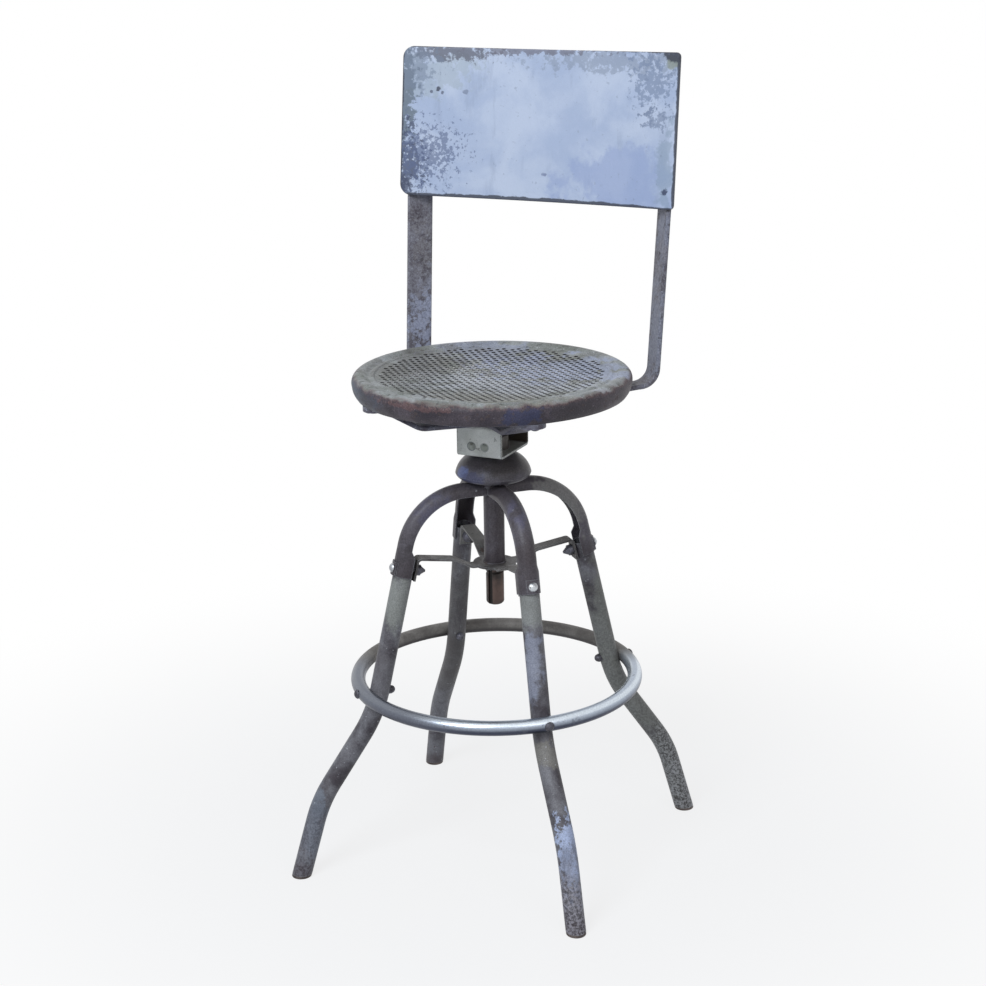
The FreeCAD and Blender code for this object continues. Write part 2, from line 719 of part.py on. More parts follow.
def vent_places():
    """Return the centres of the dish's openings, in rows along the stool's diagonals."""
    reach = int(FIELD_RADIUS / VENT_PITCH)
    rows = range(-reach, reach + 1)
    turn = Rotation(Z_AXIS, 45)
    places = [turn.multVec(Vector(i * VENT_PITCH, j * VENT_PITCH, 0)) for i in rows for j in rows]
    return [place for place in places if place.Length < FIELD_RADIUS - VENT_RADIUS]


def make_pan():
    """Return the seat pan: perforated dish, rolled rim, skirt and inner bottom flange."""
    skin = pan_body(0.0, 0.0, SKIRT_BOTTOM)
    skin = skin.cut(pan_body(PAN_SHEET, PAN_SHEET, SKIRT_BOTTOM))
    outer = SEAT_RADIUS - SKIRT_DRAFT - 0.2
    flange = post(outer, SKIRT_BOTTOM, SKIRT_BOTTOM + PAN_SHEET)
    flange = flange.cut(post(PAN_FLANGE_INNER, SKIRT_BOTTOM - 1, SKIRT_BOTTOM + 5))
    holes = []
    for place in seat_bolt_places():
        holes.append(post(SEAT_BOLT_RADIUS, SKIRT_BOTTOM - 1, SKIRT_BOTTOM + 5, place))
    for place in vent_places():
        holes.append(post(VENT_RADIUS, SEAT_TOP - 20, SEAT_TOP + 1, place))
    return joined([skin, flange]).cut(holes)


# Cross bars and back


def mirrored(shape):
    """Return the shape's mirror image across the stool's middle plane."""
    return shape.mirror(ORIGIN, X_AXIS)


def bar_point(distance, height):
    """Return a point on the right bar's centreline plane."""
    return level_direction(BAR_AZIMUTH) * distance + Vector(0, BAR_CROSSING_Y, height)


def seat_bolt_places():
    """Return where the four seat bolts stand."""
    front = bar_point(-150.0, 0)
    rear = bar_point(178.0, 0)
    return [front, rear, Vector(-front.x, front.y, 0), Vector(-rear.x, rear.y, 0)]


def bar_sweep(middle_bottom):
    """Return one bar on the right side and the end of its upright."""
    half = BAR_THICKNESS / 2
    low = middle_bottom + half
    high = SKIRT_BOTTOM - half
    corners = [
        (BAR_FRONT_END, high),
        (BAR_DROP_FRONT[0], high),
        (BAR_DROP_FRONT[1], low),
        (BAR_DROP_REAR[0], low),
        (BAR_DROP_REAR[1], high),
        (BAR_TWIST_START, high),
    ]
    steps = route_steps(corners, [DROP_RADIUS] * 4)
    rise = 90.0 - UPRIGHT_LEAN_OUT
    bend_start = BAR_CORNER - BAR_CORNER_RADIUS * tan(radians(rise / 2))
    steps.append(("twist", BAR_TWIST_LENGTH, -UPRIGHT_LEAN_BACK))
    steps.append(("run", bend_start - BAR_TWIST_START - BAR_TWIST_LENGTH))
    steps.append(("bend", BAR_CORNER_RADIUS, rise))
    steps.append(("run", UPRIGHT_TOP - high - BAR_CORNER_RADIUS))
    heading = level_direction(BAR_AZIMUTH)
    face = rounded_rectangle(BAR_WIDTH, BAR_THICKNESS, BAR_EDGE)
    return follow(face, bar_point(*corners[0]), heading, heading.cross(Z_AXIS), steps)


def make_bar(middle_bottom):
    """Return one cross bar, drilled, and the end of its upright."""
    bar, end = bar_sweep(middle_bottom)
    places = seat_bolt_places()[:2]
    holes = [post(SEAT_BOLT_RADIUS, 600, 640, place) for place in places]
    for place in bar_bolt_places()[:2]:
        holes.append(post(BAR_BOLT_RADIUS, 580, 620, place))
    for point, outward in panel_bolt_lines(end):
        holes.append(Part.makeCylinder(PANEL_BOLT_RADIUS, 40, point - outward * 20, outward))
    nose = post(BAR_WIDTH / 2, 600, 640, bar_point(BAR_FRONT_END + BAR_WIDTH / 2, 0))
    square = block((-40, BAR_WIDTH / 2), (-40, 40), (600, 640))
    square.rotate(ORIGIN, Z_AXIS, BAR_AZIMUTH)
    square.translate(bar_point(BAR_FRONT_END, 0))
    return bar.cut(holes + [square.cut(nose)]), end


def panel_bolt_lines(end):
    """Return the points and outward directions of an upright's two bolts."""
    point, heading, side = end
    outward = heading.cross(side)
    lines = []
    for height in (925.0, 967.0):
        centre = point + heading * ((height - point.z) / heading.z)
        lines.append((centre - side * 2.0, outward))
    return lines


def panel_radius():
    """Return the radius of the panel's curve."""
    return (PANEL_HALF_WIDTH ** 2 + PANEL_SAGITTA ** 2) / (2 * PANEL_SAGITTA)


def leaned(shape):
    """Set a shape drawn in the panel's upright frame at the panel's lean and place."""
    shape = turned(shape, ORIGIN, X_AXIS, -PANEL_LEAN)
    return moved(shape, Vector(0, PANEL_EDGE_Y, PANEL_BOTTOM))


def curved_shell(inner, outer):
    """Return a shell between two offsets behind the panel's front face."""
    centre = Vector(0, PANEL_SAGITTA - panel_radius(), -20)
    shell = Part.makeCylinder(panel_radius() + outer, PANEL_HEIGHT + 40, centre, Z_AXIS)
    shell = shell.cut(Part.makeCylinder(panel_radius() + inner, PANEL_HEIGHT + 40, centre, Z_AXIS))
    return shell.common(block((-250, 250), (-60, 60), (-10, PANEL_HEIGHT + 10)))


def panel_outline(inset):
    """Return a prism with the panel's rounded outline, drawn in by an amount."""
    face = rounded_rectangle(2 * (PANEL_HALF_WIDTH - inset), PANEL_HEIGHT - 2 * inset,
                             PANEL_CORNER - inset)
    face.Placement = Placement(Vector(0, 60, PANEL_HEIGHT / 2), Rotation(X_AXIS, 90))
    return face.extrude(Y_AXIS * -120)


def make_panel():
    """Return the curved back panel with its turned edge."""
    outline = panel_outline(0.0)
    skin = curved_shell(0.0, PANEL_SHEET).common(outline)
    edge = curved_shell(0.0, PANEL_FLANGE).common(outline).cut(panel_outline(PANEL_SHEET))
    return leaned(joined([skin, edge]))


def make_clip(end):
    """Return the right clip: one leaf on the panel's back, one on the upright."""
    middle = PANEL_HEIGHT * 0.5
    low = middle - CLIP_HEIGHT / 2
    leaf = curved_shell(PANEL_SHEET, PANEL_SHEET + CLIP_SHEET)
    leaf = leaned(leaf.common(block(CLIP_FOOT, (-60, 60), (low, low + CLIP_HEIGHT))))
    point, heading, side = end
    base = point + heading * ((PANEL_BOTTOM + low - point.z) / heading.z)
    plate = block((-15.0, BAR_WIDTH / 2 + 16.0),
                  (-BAR_THICKNESS / 2 - CLIP_SHEET, -BAR_THICKNESS / 2), (0, CLIP_HEIGHT))
    plate.Placement = profile_frame(base, heading, side)
    front = Part.makeCylinder(panel_radius() + PANEL_SHEET, PANEL_HEIGHT + 80,
                              Vector(0, PANEL_SAGITTA - panel_radius(), -40), Z_AXIS)
    plate = plate.cut(leaned(front))
    plate = plate.common(leaned(block((0, CLIP_FOOT[1]), (-60, 100), (-50, PANEL_HEIGHT + 50))))
    clip = joined([leaf, plate])
    holes = [Part.makeCylinder(PANEL_BOLT_RADIUS, 40, p - o * 20, o) for p, o in panel_bolt_lines(end)]
    return clip.cut(holes)


def make_panel_fasteners(end):
    """Return the bolts and nuts that hold the right clip on its upright."""
    bolts = []
    nuts = []
    for point, outward in panel_bolt_lines(end):
        head = point - outward * (BAR_THICKNESS / 2 + CLIP_SHEET)
        length = BAR_THICKNESS + CLIP_SHEET + 6.5
        bolts.append(round_head_bolt(head, outward, PANEL_BOLT_RADIUS, length, 6.2, 3.0))
        seat = point + outward * (BAR_THICKNESS / 2)
        nuts.append(hexagon(11.0, 5.0, seat, outward, PANEL_BOLT_RADIUS))
    return bolts, nuts


def make_bar_fasteners():
    """Return the three bolts, nuts and the spacer between the bars and the box."""
    tops = (BOX_TOP + 2 * BAR_THICKNESS, BOX_TOP + BAR_THICKNESS, BOX_TOP + 2 * BAR_THICKNESS)
    bolts = []
    nuts = []
    down = Z_AXIS * -1
    for place, top in zip(bar_bolt_places(), tops):
        seat = BOX_TOP - BOX_SHEET
        head = Vector(place.x, place.y, top)
        bolts.append(round_head_bolt(head, down, BAR_BOLT_RADIUS, top - seat + 8.0, 8.0, 4.5))
        nuts.append(hexagon(13.0, 6.5, Vector(place.x, place.y, seat), down, BAR_BOLT_RADIUS))
    left = bar_bolt_places()[2]
    spacer = post(11.0, BOX_TOP, BOX_TOP + BAR_THICKNESS, left)
    spacer = spacer.cut(post(BAR_BOLT_RADIUS, BOX_TOP - 1, BOX_TOP + 10, left))
    return bolts, nuts, spacer


def make_seat_fasteners():
    """Return the four seat bolts from below and their nuts inside the pan."""
    bolts = []
    nuts = []
    for place in seat_bolt_places():
        head = Vector(place.x, place.y, SKIRT_BOTTOM - BAR_THICKNESS)
        length = BAR_THICKNESS + PAN_SHEET + 6.5
        bolts.append(round_head_bolt(head, Z_AXIS, SEAT_BOLT_RADIUS, length, 7.0, 3.2))
        seat = Vector(place.x, place.y, SKIRT_BOTTOM + PAN_SHEET)
        nuts.append(hexagon(11.0, 5.0, seat, Z_AXIS, SEAT_BOLT_RADIUS))
    return bolts, nuts


def ring_washer(inner, outer, bottom, top):
    """Return a flat washer about the spindle axis."""
    return post(outer, bottom, top).cut(post(inner, bottom - 1, top + 1))


def build_nodes():
    """Return every node of the stool by name."""
    nodes = {}
    leg = make_leg()
    arm = make_arm()
    for corner, azimuth in LEG_AZIMUTHS.items():
        nodes["leg_" + corner] = turned(leg, ORIGIN, Z_AXIS, azimuth)
        nodes["arm_" + corner] = turned(arm, ORIGIN, Z_AXIS, azimuth)
    nodes["foot_glides"] = on_legs(make_glide())
    nodes["crown_hub"] = make_hub()
    nodes["guide_sleeve"] = make_sleeve()
    nodes["guide_key"] = key_block(0.0, HUB_BOTTOM, HUB_TOP)
    nodes["brace_spider"] = make_brace()
    nodes["foot_ring"] = make_ring()
    nodes["arm_bolts"] = on_legs(make_arm_bolt())
    nodes["arm_bolt_saddles"] = on_legs(make_arm_saddle())
    nodes["arm_cap_nuts"] = on_legs(make_arm_nut())
    nodes["ring_bolts"] = on_legs(make_ring_bolt())
    nodes["ring_cap_nuts"] = on_legs(make_ring_nut())
    nodes["thrust_washer"] = ring_washer(SPINDLE_RADIUS + 0.5, WASHER_RADIUS, HUB_TOP, COLLAR_BOTTOM - 0.1)

    nodes["lifting_collar"] = make_collar()

    nodes["spindle"] = make_spindle()
    nodes["swivel_race"] = ring_washer(JOURNAL_RADIUS, 20.0, SPINDLE_SHOULDER, BOX_BOTTOM - 0.1)
    nodes["nut_washer"] = ring_washer(STUB_RADIUS, 13.0, BEARING_TOP + 0.1, BEARING_TOP + 1.6)
    nodes["castle_nut"] = make_castle_nut()
    nodes["cotter_pin"] = cotter_rod(1.3)

    nodes["box_bracket"] = make_box()
    nodes["bearing_housing"] = make_bearing_housing()
    nodes["box_rivets"] = make_rivets()
    right_bar, right_end = make_bar(BOX_TOP)
    left_bar, left_end = make_bar(BOX_TOP + BAR_THICKNESS)
    nodes["cross_bar_right"] = right_bar
    nodes["cross_bar_left"] = mirrored(left_bar)
    bolts, nuts, spacer = make_bar_fasteners()
    nodes["bar_bolts"] = bolts
    nodes["bar_nuts"] = nuts
    nodes["bar_spacer"] = spacer
    nodes["seat_pan"] = make_pan()
    nodes["seat_bolts"], nodes["seat_nuts"] = make_seat_fasteners()
    nodes["back_panel"] = make_panel()
    nodes["panel_clip_right"] = make_clip(right_end)
    nodes["panel_clip_left"] = mirrored(make_clip(left_end))
    right_bolts, right_nuts = make_panel_fasteners(right_end)
    left_bolts, left_nuts = make_panel_fasteners(left_end)
    nodes["panel_bolts"] = right_bolts + [mirrored(bolt) for bolt in left_bolts]
    nodes["panel_nuts"] = right_nuts + [mirrored(nut) for nut in left_nuts]
    return nodes


def export(nodes):
    """Write one STEP file for each node."""
    os.makedirs("parts", exist_ok=True)
    for name, shape in nodes.items():
        if isinstance(shape, list):
            shape = Part.makeCompound(shape)
        solids = shape.Solids
        size = shape.BoundBox
        print(name, "solids", len(solids), "valid", shape.isValid(), "volume", round(shape.Volume),
              "z", round(size.ZMin, 1), round(size.ZMax, 1))
        if len(solids) == 1:
            shape = solids[0]
        shape.exportStep("parts/" + name + ".step")


export(build_nodes())
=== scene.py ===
"""Looks of the machinist stool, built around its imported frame.

Lengths are in metres unless a name or note says millimetres. +Z is up, the floor is
Z = 0, the spindle stands on the Z axis, and the sitter faces -Y.
"""

import json
from math import asin, atan2, cos, hypot, pi, radians, sin, sqrt

import bpy
from bpy.props import FloatProperty, FloatVectorProperty, IntProperty, PointerProperty
from mathutils import Matrix, Vector

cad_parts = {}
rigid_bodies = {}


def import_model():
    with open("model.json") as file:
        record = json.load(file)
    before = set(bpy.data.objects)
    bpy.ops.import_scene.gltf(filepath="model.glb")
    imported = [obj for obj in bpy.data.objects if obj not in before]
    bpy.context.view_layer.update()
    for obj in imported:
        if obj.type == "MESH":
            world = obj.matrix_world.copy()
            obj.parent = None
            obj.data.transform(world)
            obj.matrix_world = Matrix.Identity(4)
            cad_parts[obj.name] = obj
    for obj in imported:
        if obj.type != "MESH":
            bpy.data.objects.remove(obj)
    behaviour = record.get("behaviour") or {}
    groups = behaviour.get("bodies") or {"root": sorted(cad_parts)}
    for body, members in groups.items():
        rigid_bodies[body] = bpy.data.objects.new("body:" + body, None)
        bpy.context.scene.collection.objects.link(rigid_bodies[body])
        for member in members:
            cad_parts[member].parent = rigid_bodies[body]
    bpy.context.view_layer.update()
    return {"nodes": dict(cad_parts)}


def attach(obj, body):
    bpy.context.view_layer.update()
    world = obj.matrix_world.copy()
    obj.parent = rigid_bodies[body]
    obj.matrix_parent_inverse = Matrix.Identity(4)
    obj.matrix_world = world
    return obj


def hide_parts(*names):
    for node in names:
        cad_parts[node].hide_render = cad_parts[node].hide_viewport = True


for leftover in list(bpy.data.objects):
    bpy.data.objects.remove(leftover)
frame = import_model()

bl_info = {
    "name": "Machinist Stool",
    "version": (1, 0, 0),
    "blender": (4, 5, 0),
    "location": "View3D > Sidebar > Stool",
    "description": "Dresses a screw lift machinist stool around its packed frame",
    "category": "Object",
}

MM = 0.001

# Seat pan, in millimetres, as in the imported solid
PAN_RADIUS = 177.8
PAN_TOP = 656.6
PAN_BOTTOM = 627.9
PAN_DRAFT = 5.0
RIM_WIDTH = 19.0
RIM_FALL = 3.4
DISH_FALL = 7.0
FLANGE_INNER = 154.0

# Punch for the perforations, in millimetres: how far it reaches below and above the sheet,
# and how its mouth flares
PUNCH_DEPTH = 6.0
PUNCH_RISE = 4.0
PUNCH_FLARE = 0.4
PUNCH_FLARE_START = -0.5
PUNCH_FLARE_END = 0.25

# Counts of the punch's sides, the dish's outline points, and the fewest faces of a punched pan
PUNCH_SIDES = 12
DISH_POINTS = 16
LEAST_PUNCHED_FACES = 5000

# Back panel, in millimetres, with its lean in degrees
PANEL_HALF_WIDTH = 193.2
PANEL_HEIGHT = 194.5
PANEL_BOTTOM = 850.5
PANEL_EDGE_Y = 130.2
PANEL_SAGITTA = 22.8
PANEL_LEAN = 6.54
PANEL_LEFT_CORNER = 15.0
PANEL_RIGHT_CORNER = 6.0
PANEL_DEPTH = 5.0
FLAT_RIM_WIDTH = 20.0

# Counts of the panel's grid spaces between its corners, across and up
PANEL_COLUMNS = 56
PANEL_ROWS = 28

# Spindle, in millimetres
SPINDLE_RADIUS = 11.75
SPINDLE_BOTTOM = 344.0
SPINDLE_SHOULDER = 549.4
THREAD_BOTTOM = 384.0
THREAD_TOP = 546.0
JOURNAL_RADIUS = 8.0
JOURNAL_TOP = 573.1
STUB_RADIUS = 6.0
STUB_TOP = 586.0

# Counts of the spindle's sides, and of its rows of points in one turn of the thread
SPINDLE_SIDES = 72
ROWS_PER_TURN = 12

# Keyway: its azimuth in degrees and, in radians, the free space round each of its corners and
# half the distance between the two points there
KEY_AZIMUTH = 262.0
KEY_CLEARANCE = 0.02
KEY_CORNER = 0.004

# Crown, in millimetres
HUB_RADIUS = 20.0
HUB_BOTTOM = 496.0
HUB_FLANGE_BOTTOM = 506.0
SLEEVE_RADIUS = 13.5
BRACE_TOP = 401.0
ARM_RADIUS = 12.0
ARM_HEIGHT = 500.0

# Azimuths of the arms and legs, in degrees
LEG_AZIMUTHS = (45.0, 135.0, 225.0, 315.0)

# Weld beads, in millimetres: how far their middles stand off the metal
WELD_LIFT = 0.3
ARM_WELD_LIFT = 0.4

# The photograph's camera: angles in degrees, distances in metres, lens and sensor in
# millimetres
CAMERA_TURN = 25.2
CAMERA_YAW = -0.02
CAMERA_PITCH = 16.95
CAMERA_ROLL = -0.9
CAMERA_DISTANCE = 2.5556
CAMERA_HEIGHT = 1.2726
CAMERA_LENS = 75.56
SENSOR_WIDTH = 36.0

# Stage, in metres: the floor's half side, the distances between which it turns white, and how
# white it is seen near the stool
FLOOR_REACH = 60.0
FLOOR_FADE = (0.25, 1.2)
FLOOR_WHITE = 0.80
LAMP_AIM = (0.0, 0.0, 0.55)
KEY_LAMP_PLACE = (-0.3, -2.9, 3.0)
KEY_LAMP_SIZE = 1.6
KEY_LAMP_COLOUR = (0.88, 0.94, 1.0)
SIDE_LAMP_PLACE = (2.2, -1.6, 2.2)
SIDE_LAMP_SIZE = 1.2
SIDE_LAMP_COLOUR = (1.0, 0.96, 0.92)


def display(red, green, blue):
    """Return a display colour of 0 to 255 a channel as linear light, opaque."""
    channels = []
    for value in (red, green, blue):
        share = value / 255
        channels.append(share / 12.92 if share <= 0.04045 else ((share + 0.055) / 1.055) ** 2.4)
    return (*channels, 1.0)


def colour_property(name, description, default):
    """Return a colour property with an opaque default."""
    return FloatVectorProperty(name=name, description=description, default=default,
                               size=4, min=0.0, max=1.0, subtype="COLOR")


def length_property(name, description, millimetres):
    """Return a length property whose default is given in millimetres."""
    return FloatProperty(name=name, description=description, default=millimetres * MM,
                         min=0.0, precision=5, unit="LENGTH")


class StoolPanSettings(bpy.types.PropertyGroup):
    """Sizes and colours of the seat pan."""
    hole_diameter: length_property("Hole diameter", "Width of one perforation", 5.2)
    hole_pitch: length_property("Hole pitch", "Distance between rows of perforations", 8.9)
    field_radius: length_property("Field radius", "Radius of the perforated field", 143.0)
    sheet: length_property("Sheet", "Thickness of the pressed sheet", 1.1)
    around: IntProperty(name="Segments", description="Segments round the pan", default=160, min=32)
    top: colour_property("Seat grey", "Paint left on the seat's top", display(164, 166, 166))
    skirt: colour_property("Skirt brown", "Dark paint of the skirt", display(84, 76, 82))
    skirt_blue: colour_property("Skirt blue", "Blue grey of the skirt's side", display(66, 75, 90))


class StoolPanelSettings(bpy.types.PropertyGroup):
    """Sizes and colours of the back panel."""
    sheet: length_property("Sheet", "Thickness of the panel", 1.3)
    edge_radius: length_property("Edge radius", "Radius of the turned edge", 1.8)
    dent: length_property("Dent depth", "How far the sheet is out of true", 0.5)
    paint: colour_property("Panel blue", "Pale paint of the panel", display(172, 185, 210))
    chalk: colour_property("Chalky blue", "Faded paint of the panel", display(192, 202, 221))
    bare: colour_property("Bare edge", "Dark metal where the paint is gone", display(64, 67, 78))


class StoolScrewSettings(bpy.types.PropertyGroup):
    """Sizes and colours of the spindle."""
    pitch: length_property("Pitch", "Rise of the thread in one turn", 6.35)
    depth: length_property("Thread depth", "Depth of the thread's groove", 1.5)
    key_width: length_property("Keyway width", "Width of the keyway", 6.35)
    key_depth: length_property("Keyway depth", "Depth of the keyway", 3.0)
    steel: colour_property("Spindle brown", "Oiled and rusted steel", display(92, 74, 67))
    dark: colour_property("Spindle dark", "Old grease", display(46, 40, 38))


class StoolWeldSettings(bpy.types.PropertyGroup):
    """Sizes of the weld beads."""
    bead: length_property("Bead radius", "Radius of a weld bead", 1.5)
    ripple: length_property("Ripple length", "Distance between the bead's ripples", 2.2)


class StoolPaintSettings(bpy.types.PropertyGroup):
    """Colours of the base, the box and the uprights."""
    leg: colour_property("Leg grey", "Paint of the legs", display(122, 121, 125))
    leg_dark: colour_property("Leg shade", "Worn and dirty leg", display(66, 61, 66))
    arm: colour_property("Arm grey", "Paint of the arms and hub", display(92, 88, 94))
    arm_dark: colour_property("Arm brown", "Worn paint of the arms", display(71, 65, 68))
    box: colour_property("Box grey", "Paint of the box bracket", display(226, 226, 219))
    upright: colour_property("Upright grey", "Paint of the uprights", display(132, 131, 141))
    # Ring steel is the colour of the painted highlight along the top of the foot ring's front.
    ring: colour_property("Ring steel", "Rubbed steel of the foot ring", display(214, 223, 232))
    rust: colour_property("Rust", "Rust in chips and corners", display(78, 62, 55))
    chalk: colour_property("Chips", "Pale chips and specks", display(190, 192, 196))


class StoolStageSettings(bpy.types.PropertyGroup):
    """Light and background."""
    floor: colour_property("Floor", "Pale floor", display(212, 214, 217))
    sky: colour_property("Fill light", "Colour of the light all round", display(228, 234, 246))
    fill: FloatProperty(name="Fill", description="Strength of the light all round",
                        default=0.40, min=0.0)
    key: FloatProperty(name="Key", description="Power of the main lamp", default=90.0,
                       min=0.0, unit="POWER")
    side: FloatProperty(name="Side", description="Power of the side lamp", default=10.0,
                        min=0.0, unit="POWER")


# Node trees


def add_node(tree, kind, inputs=None, **settings):
    """Add a node with its settings, and set or link its inputs by name or number."""
    node = tree.nodes.new(kind)
    for key, value in settings.items():
        setattr(node, key, value)
    for key, value in (inputs or {}).items():
        if isinstance(value, bpy.types.NodeSocket):
            tree.links.new(value, node.inputs[key])
        else:
            node.inputs[key].default_value = value
    return node


def calculate(tree, operation, *values, clamp=False):
    """Add a math node and return its result."""
    node = add_node(tree, "ShaderNodeMath", dict(enumerate(values)), operation=operation)
    node.use_clamp = clamp
    return node.outputs[0]


def add_vectors(tree, operation, *values):
    """Add a vector math node and return it."""
    return add_node(tree, "ShaderNodeVectorMath", dict(enumerate(values)), operation=operation)


def remap(tree, value, low, high, to_low=0.0, to_high=1.0):
    """Spread a value between two limits, smoothly and clamped."""
    inputs = {"Value": value, "From Min": low, "From Max": high, "To Min": to_low, "To Max": to_high}
    return add_node(tree, "ShaderNodeMapRange", inputs, interpolation_type="SMOOTHSTEP").outputs[0]


def noise(tree, place, scale, detail=4.0, roughness=0.55, distortion=0.0):
    """Add a noise texture and return its value."""
    inputs = {"Vector": place, "Scale": scale, "Detail": detail,
              "Roughness": roughness, "Distortion": distortion}
    return add_node(tree, "ShaderNodeTexNoise", inputs, noise_dimensions="3D").outputs["Fac"]


def new_group(name, tree_type, inputs, outputs):
    """Make a node group with named sockets. Return it with its two end nodes."""
    group = bpy.data.node_groups.new(name, tree_type)
    for direction, sockets in (("INPUT", inputs), ("OUTPUT", outputs)):
        for socket_name, kind, default in sockets:
            socket = group.interface.new_socket(socket_name, in_out=direction,
                                                socket_type="NodeSocket" + kind)
            if default is not None:
                socket.default_value = default
    return group, group.nodes.new("NodeGroupInput"), group.nodes.new("NodeGroupOutput")


def make_worn_surface():
    """Group: mottle, chips, specks and grain of old paint on steel."""
    group, start, end = new_group(
        "worn_surface", "ShaderNodeTree",
        [("Vector", "Vector", None), ("Scale", "Float", 12.0),
         ("Chips", "Float", 0.1), ("Specks", "Float", 0.1)],
        [("Mottle", "Float", None), ("Chips", "Float", None),
         ("Specks", "Float", None), ("Grain", "Float", None)])
    place = start.outputs["Vector"]
    scale = start.outputs["Scale"]
    mottle = noise(group, place, scale, 5.0, 0.6, 0.4)
    shifted = add_vectors(group, "ADD", place, (3.1, 1.7, 5.3)).outputs[0]
    patchy = noise(group, shifted, calculate(group, "MULTIPLY", scale, 2.6), 8.0, 0.68)
    line = calculate(group, "SUBTRACT", 0.68, start.outputs["Chips"])
    chips = remap(group, patchy, line, calculate(group, "ADD", line, 0.035))
    fine = noise(group, shifted, calculate(group, "MULTIPLY", scale, 11.0), 3.0, 0.6)
    limit = calculate(group, "SUBTRACT", 0.74, start.outputs["Specks"])
    specks = remap(group, fine, limit, calculate(group, "ADD", limit, 0.05))
    grain = noise(group, place, calculate(group, "MULTIPLY", scale, 30.0), 4.0, 0.7)
    group.links.new(remap(group, mottle, 0.36, 0.64), end.inputs["Mottle"])
    group.links.new(chips, end.inputs["Chips"])
    group.links.new(specks, end.inputs["Specks"])
    group.links.new(grain, end.inputs["Grain"])
    return group


def make_rubbed_edge():
    """Group: a broken mask along edges, where hands and boots rub the paint."""
    group, start, end = new_group(
        "rubbed_edge", "ShaderNodeTree",
        [("Vector", "Vector", None), ("Radius", "Float", 0.0015), ("Break-up", "Float", 60.0)],
        [("Edge", "Float", None)])
    rounded = add_node(group, "ShaderNodeBevel", {"Radius": start.outputs["Radius"]}, samples=4)
    flat = add_node(group, "ShaderNodeNewGeometry")
    match = add_vectors(group, "DOT_PRODUCT", rounded.outputs[0], flat.outputs["Normal"])
    bent = calculate(group, "SUBTRACT", 1.0, match.outputs["Value"])
    ragged = noise(group, start.outputs["Vector"], start.outputs["Break-up"], 5.0, 0.7)
    amount = calculate(group, "MULTIPLY", bent, remap(group, ragged, 0.35, 0.62, 1.0, 7.0))
    group.links.new(remap(group, amount, 0.08, 0.45), end.inputs["Edge"])
    return group


def make_patch():
    """Group: a ragged patch round a place on the stool."""
    group, start, end = new_group(
        "paint_patch", "ShaderNodeTree",
        [("Vector", "Vector", None), ("Centre", "Vector", (0.0, 0.0, 0.0)),
         ("Size", "Vector", (0.05, 0.05, 0.05)), ("Ragged", "Float", 0.8),
         ("Scale", "Float", 40.0)],
        [("Mask", "Float", None)])
    offset = add_vectors(group, "SUBTRACT", start.outputs["Vector"], start.outputs["Centre"])
    share = add_vectors(group, "DIVIDE", offset.outputs[0], start.outputs["Size"])
    reach = add_vectors(group, "LENGTH", share.outputs[0]).outputs["Value"]
    torn = noise(group, start.outputs["Vector"], start.outputs["Scale"], 6.0, 0.65)
    torn = calculate(group, "MULTIPLY", calculate(group, "SUBTRACT", torn, 0.5),
                     calculate(group, "MULTIPLY", start.outputs["Ragged"], 3.0))
    group.links.new(remap(group, calculate(group, "ADD", reach, torn), 1.1, 0.65), end.inputs["Mask"])
    return group


def make_streaks():
    """Group: marks drawn out along one direction, such as runs and scuffs."""
    group, start, end = new_group(
        "drawn_marks", "ShaderNodeTree",
        [("Vector", "Vector", None), ("Scale", "Float", 30.0),
         ("Stretch", "Vector", (1.0, 1.0, 0.12)), ("Amount", "Float", 0.1)],
        [("Marks", "Float", None)])
    drawn = add_vectors(group, "MULTIPLY", start.outputs["Vector"], start.outputs["Stretch"])
    lines = noise(group, drawn.outputs[0], start.outputs["Scale"], 6.0, 0.62)
    line = calculate(group, "SUBTRACT", 0.66, start.outputs["Amount"])
    group.links.new(remap(group, lines, line, calculate(group, "ADD", line, 0.12)),
                    end.inputs["Marks"])
    return group


def make_speckle():
    """Group: fine two tone grain, as on rust that was painted over."""
    group, start, end = new_group(
        "fine_speckle", "ShaderNodeTree", [("Vector", "Vector", None), ("Scale", "Float", 300.0)],
        [("Tone", "Float", None)])
    grains = noise(group, start.outputs["Vector"], start.outputs["Scale"], 4.0, 0.75)
    group.links.new(remap(group, grains, 0.40, 0.60), end.inputs["Tone"])
    return group


EFFECTS = {}


def make_effects():
    """Build each shared effect once."""
    if not EFFECTS:
        EFFECTS["worn"] = make_worn_surface()
        EFFECTS["edge"] = make_rubbed_edge()
        EFFECTS["patch"] = make_patch()
        EFFECTS["marks"] = make_streaks()
        EFFECTS["speckle"] = make_speckle()


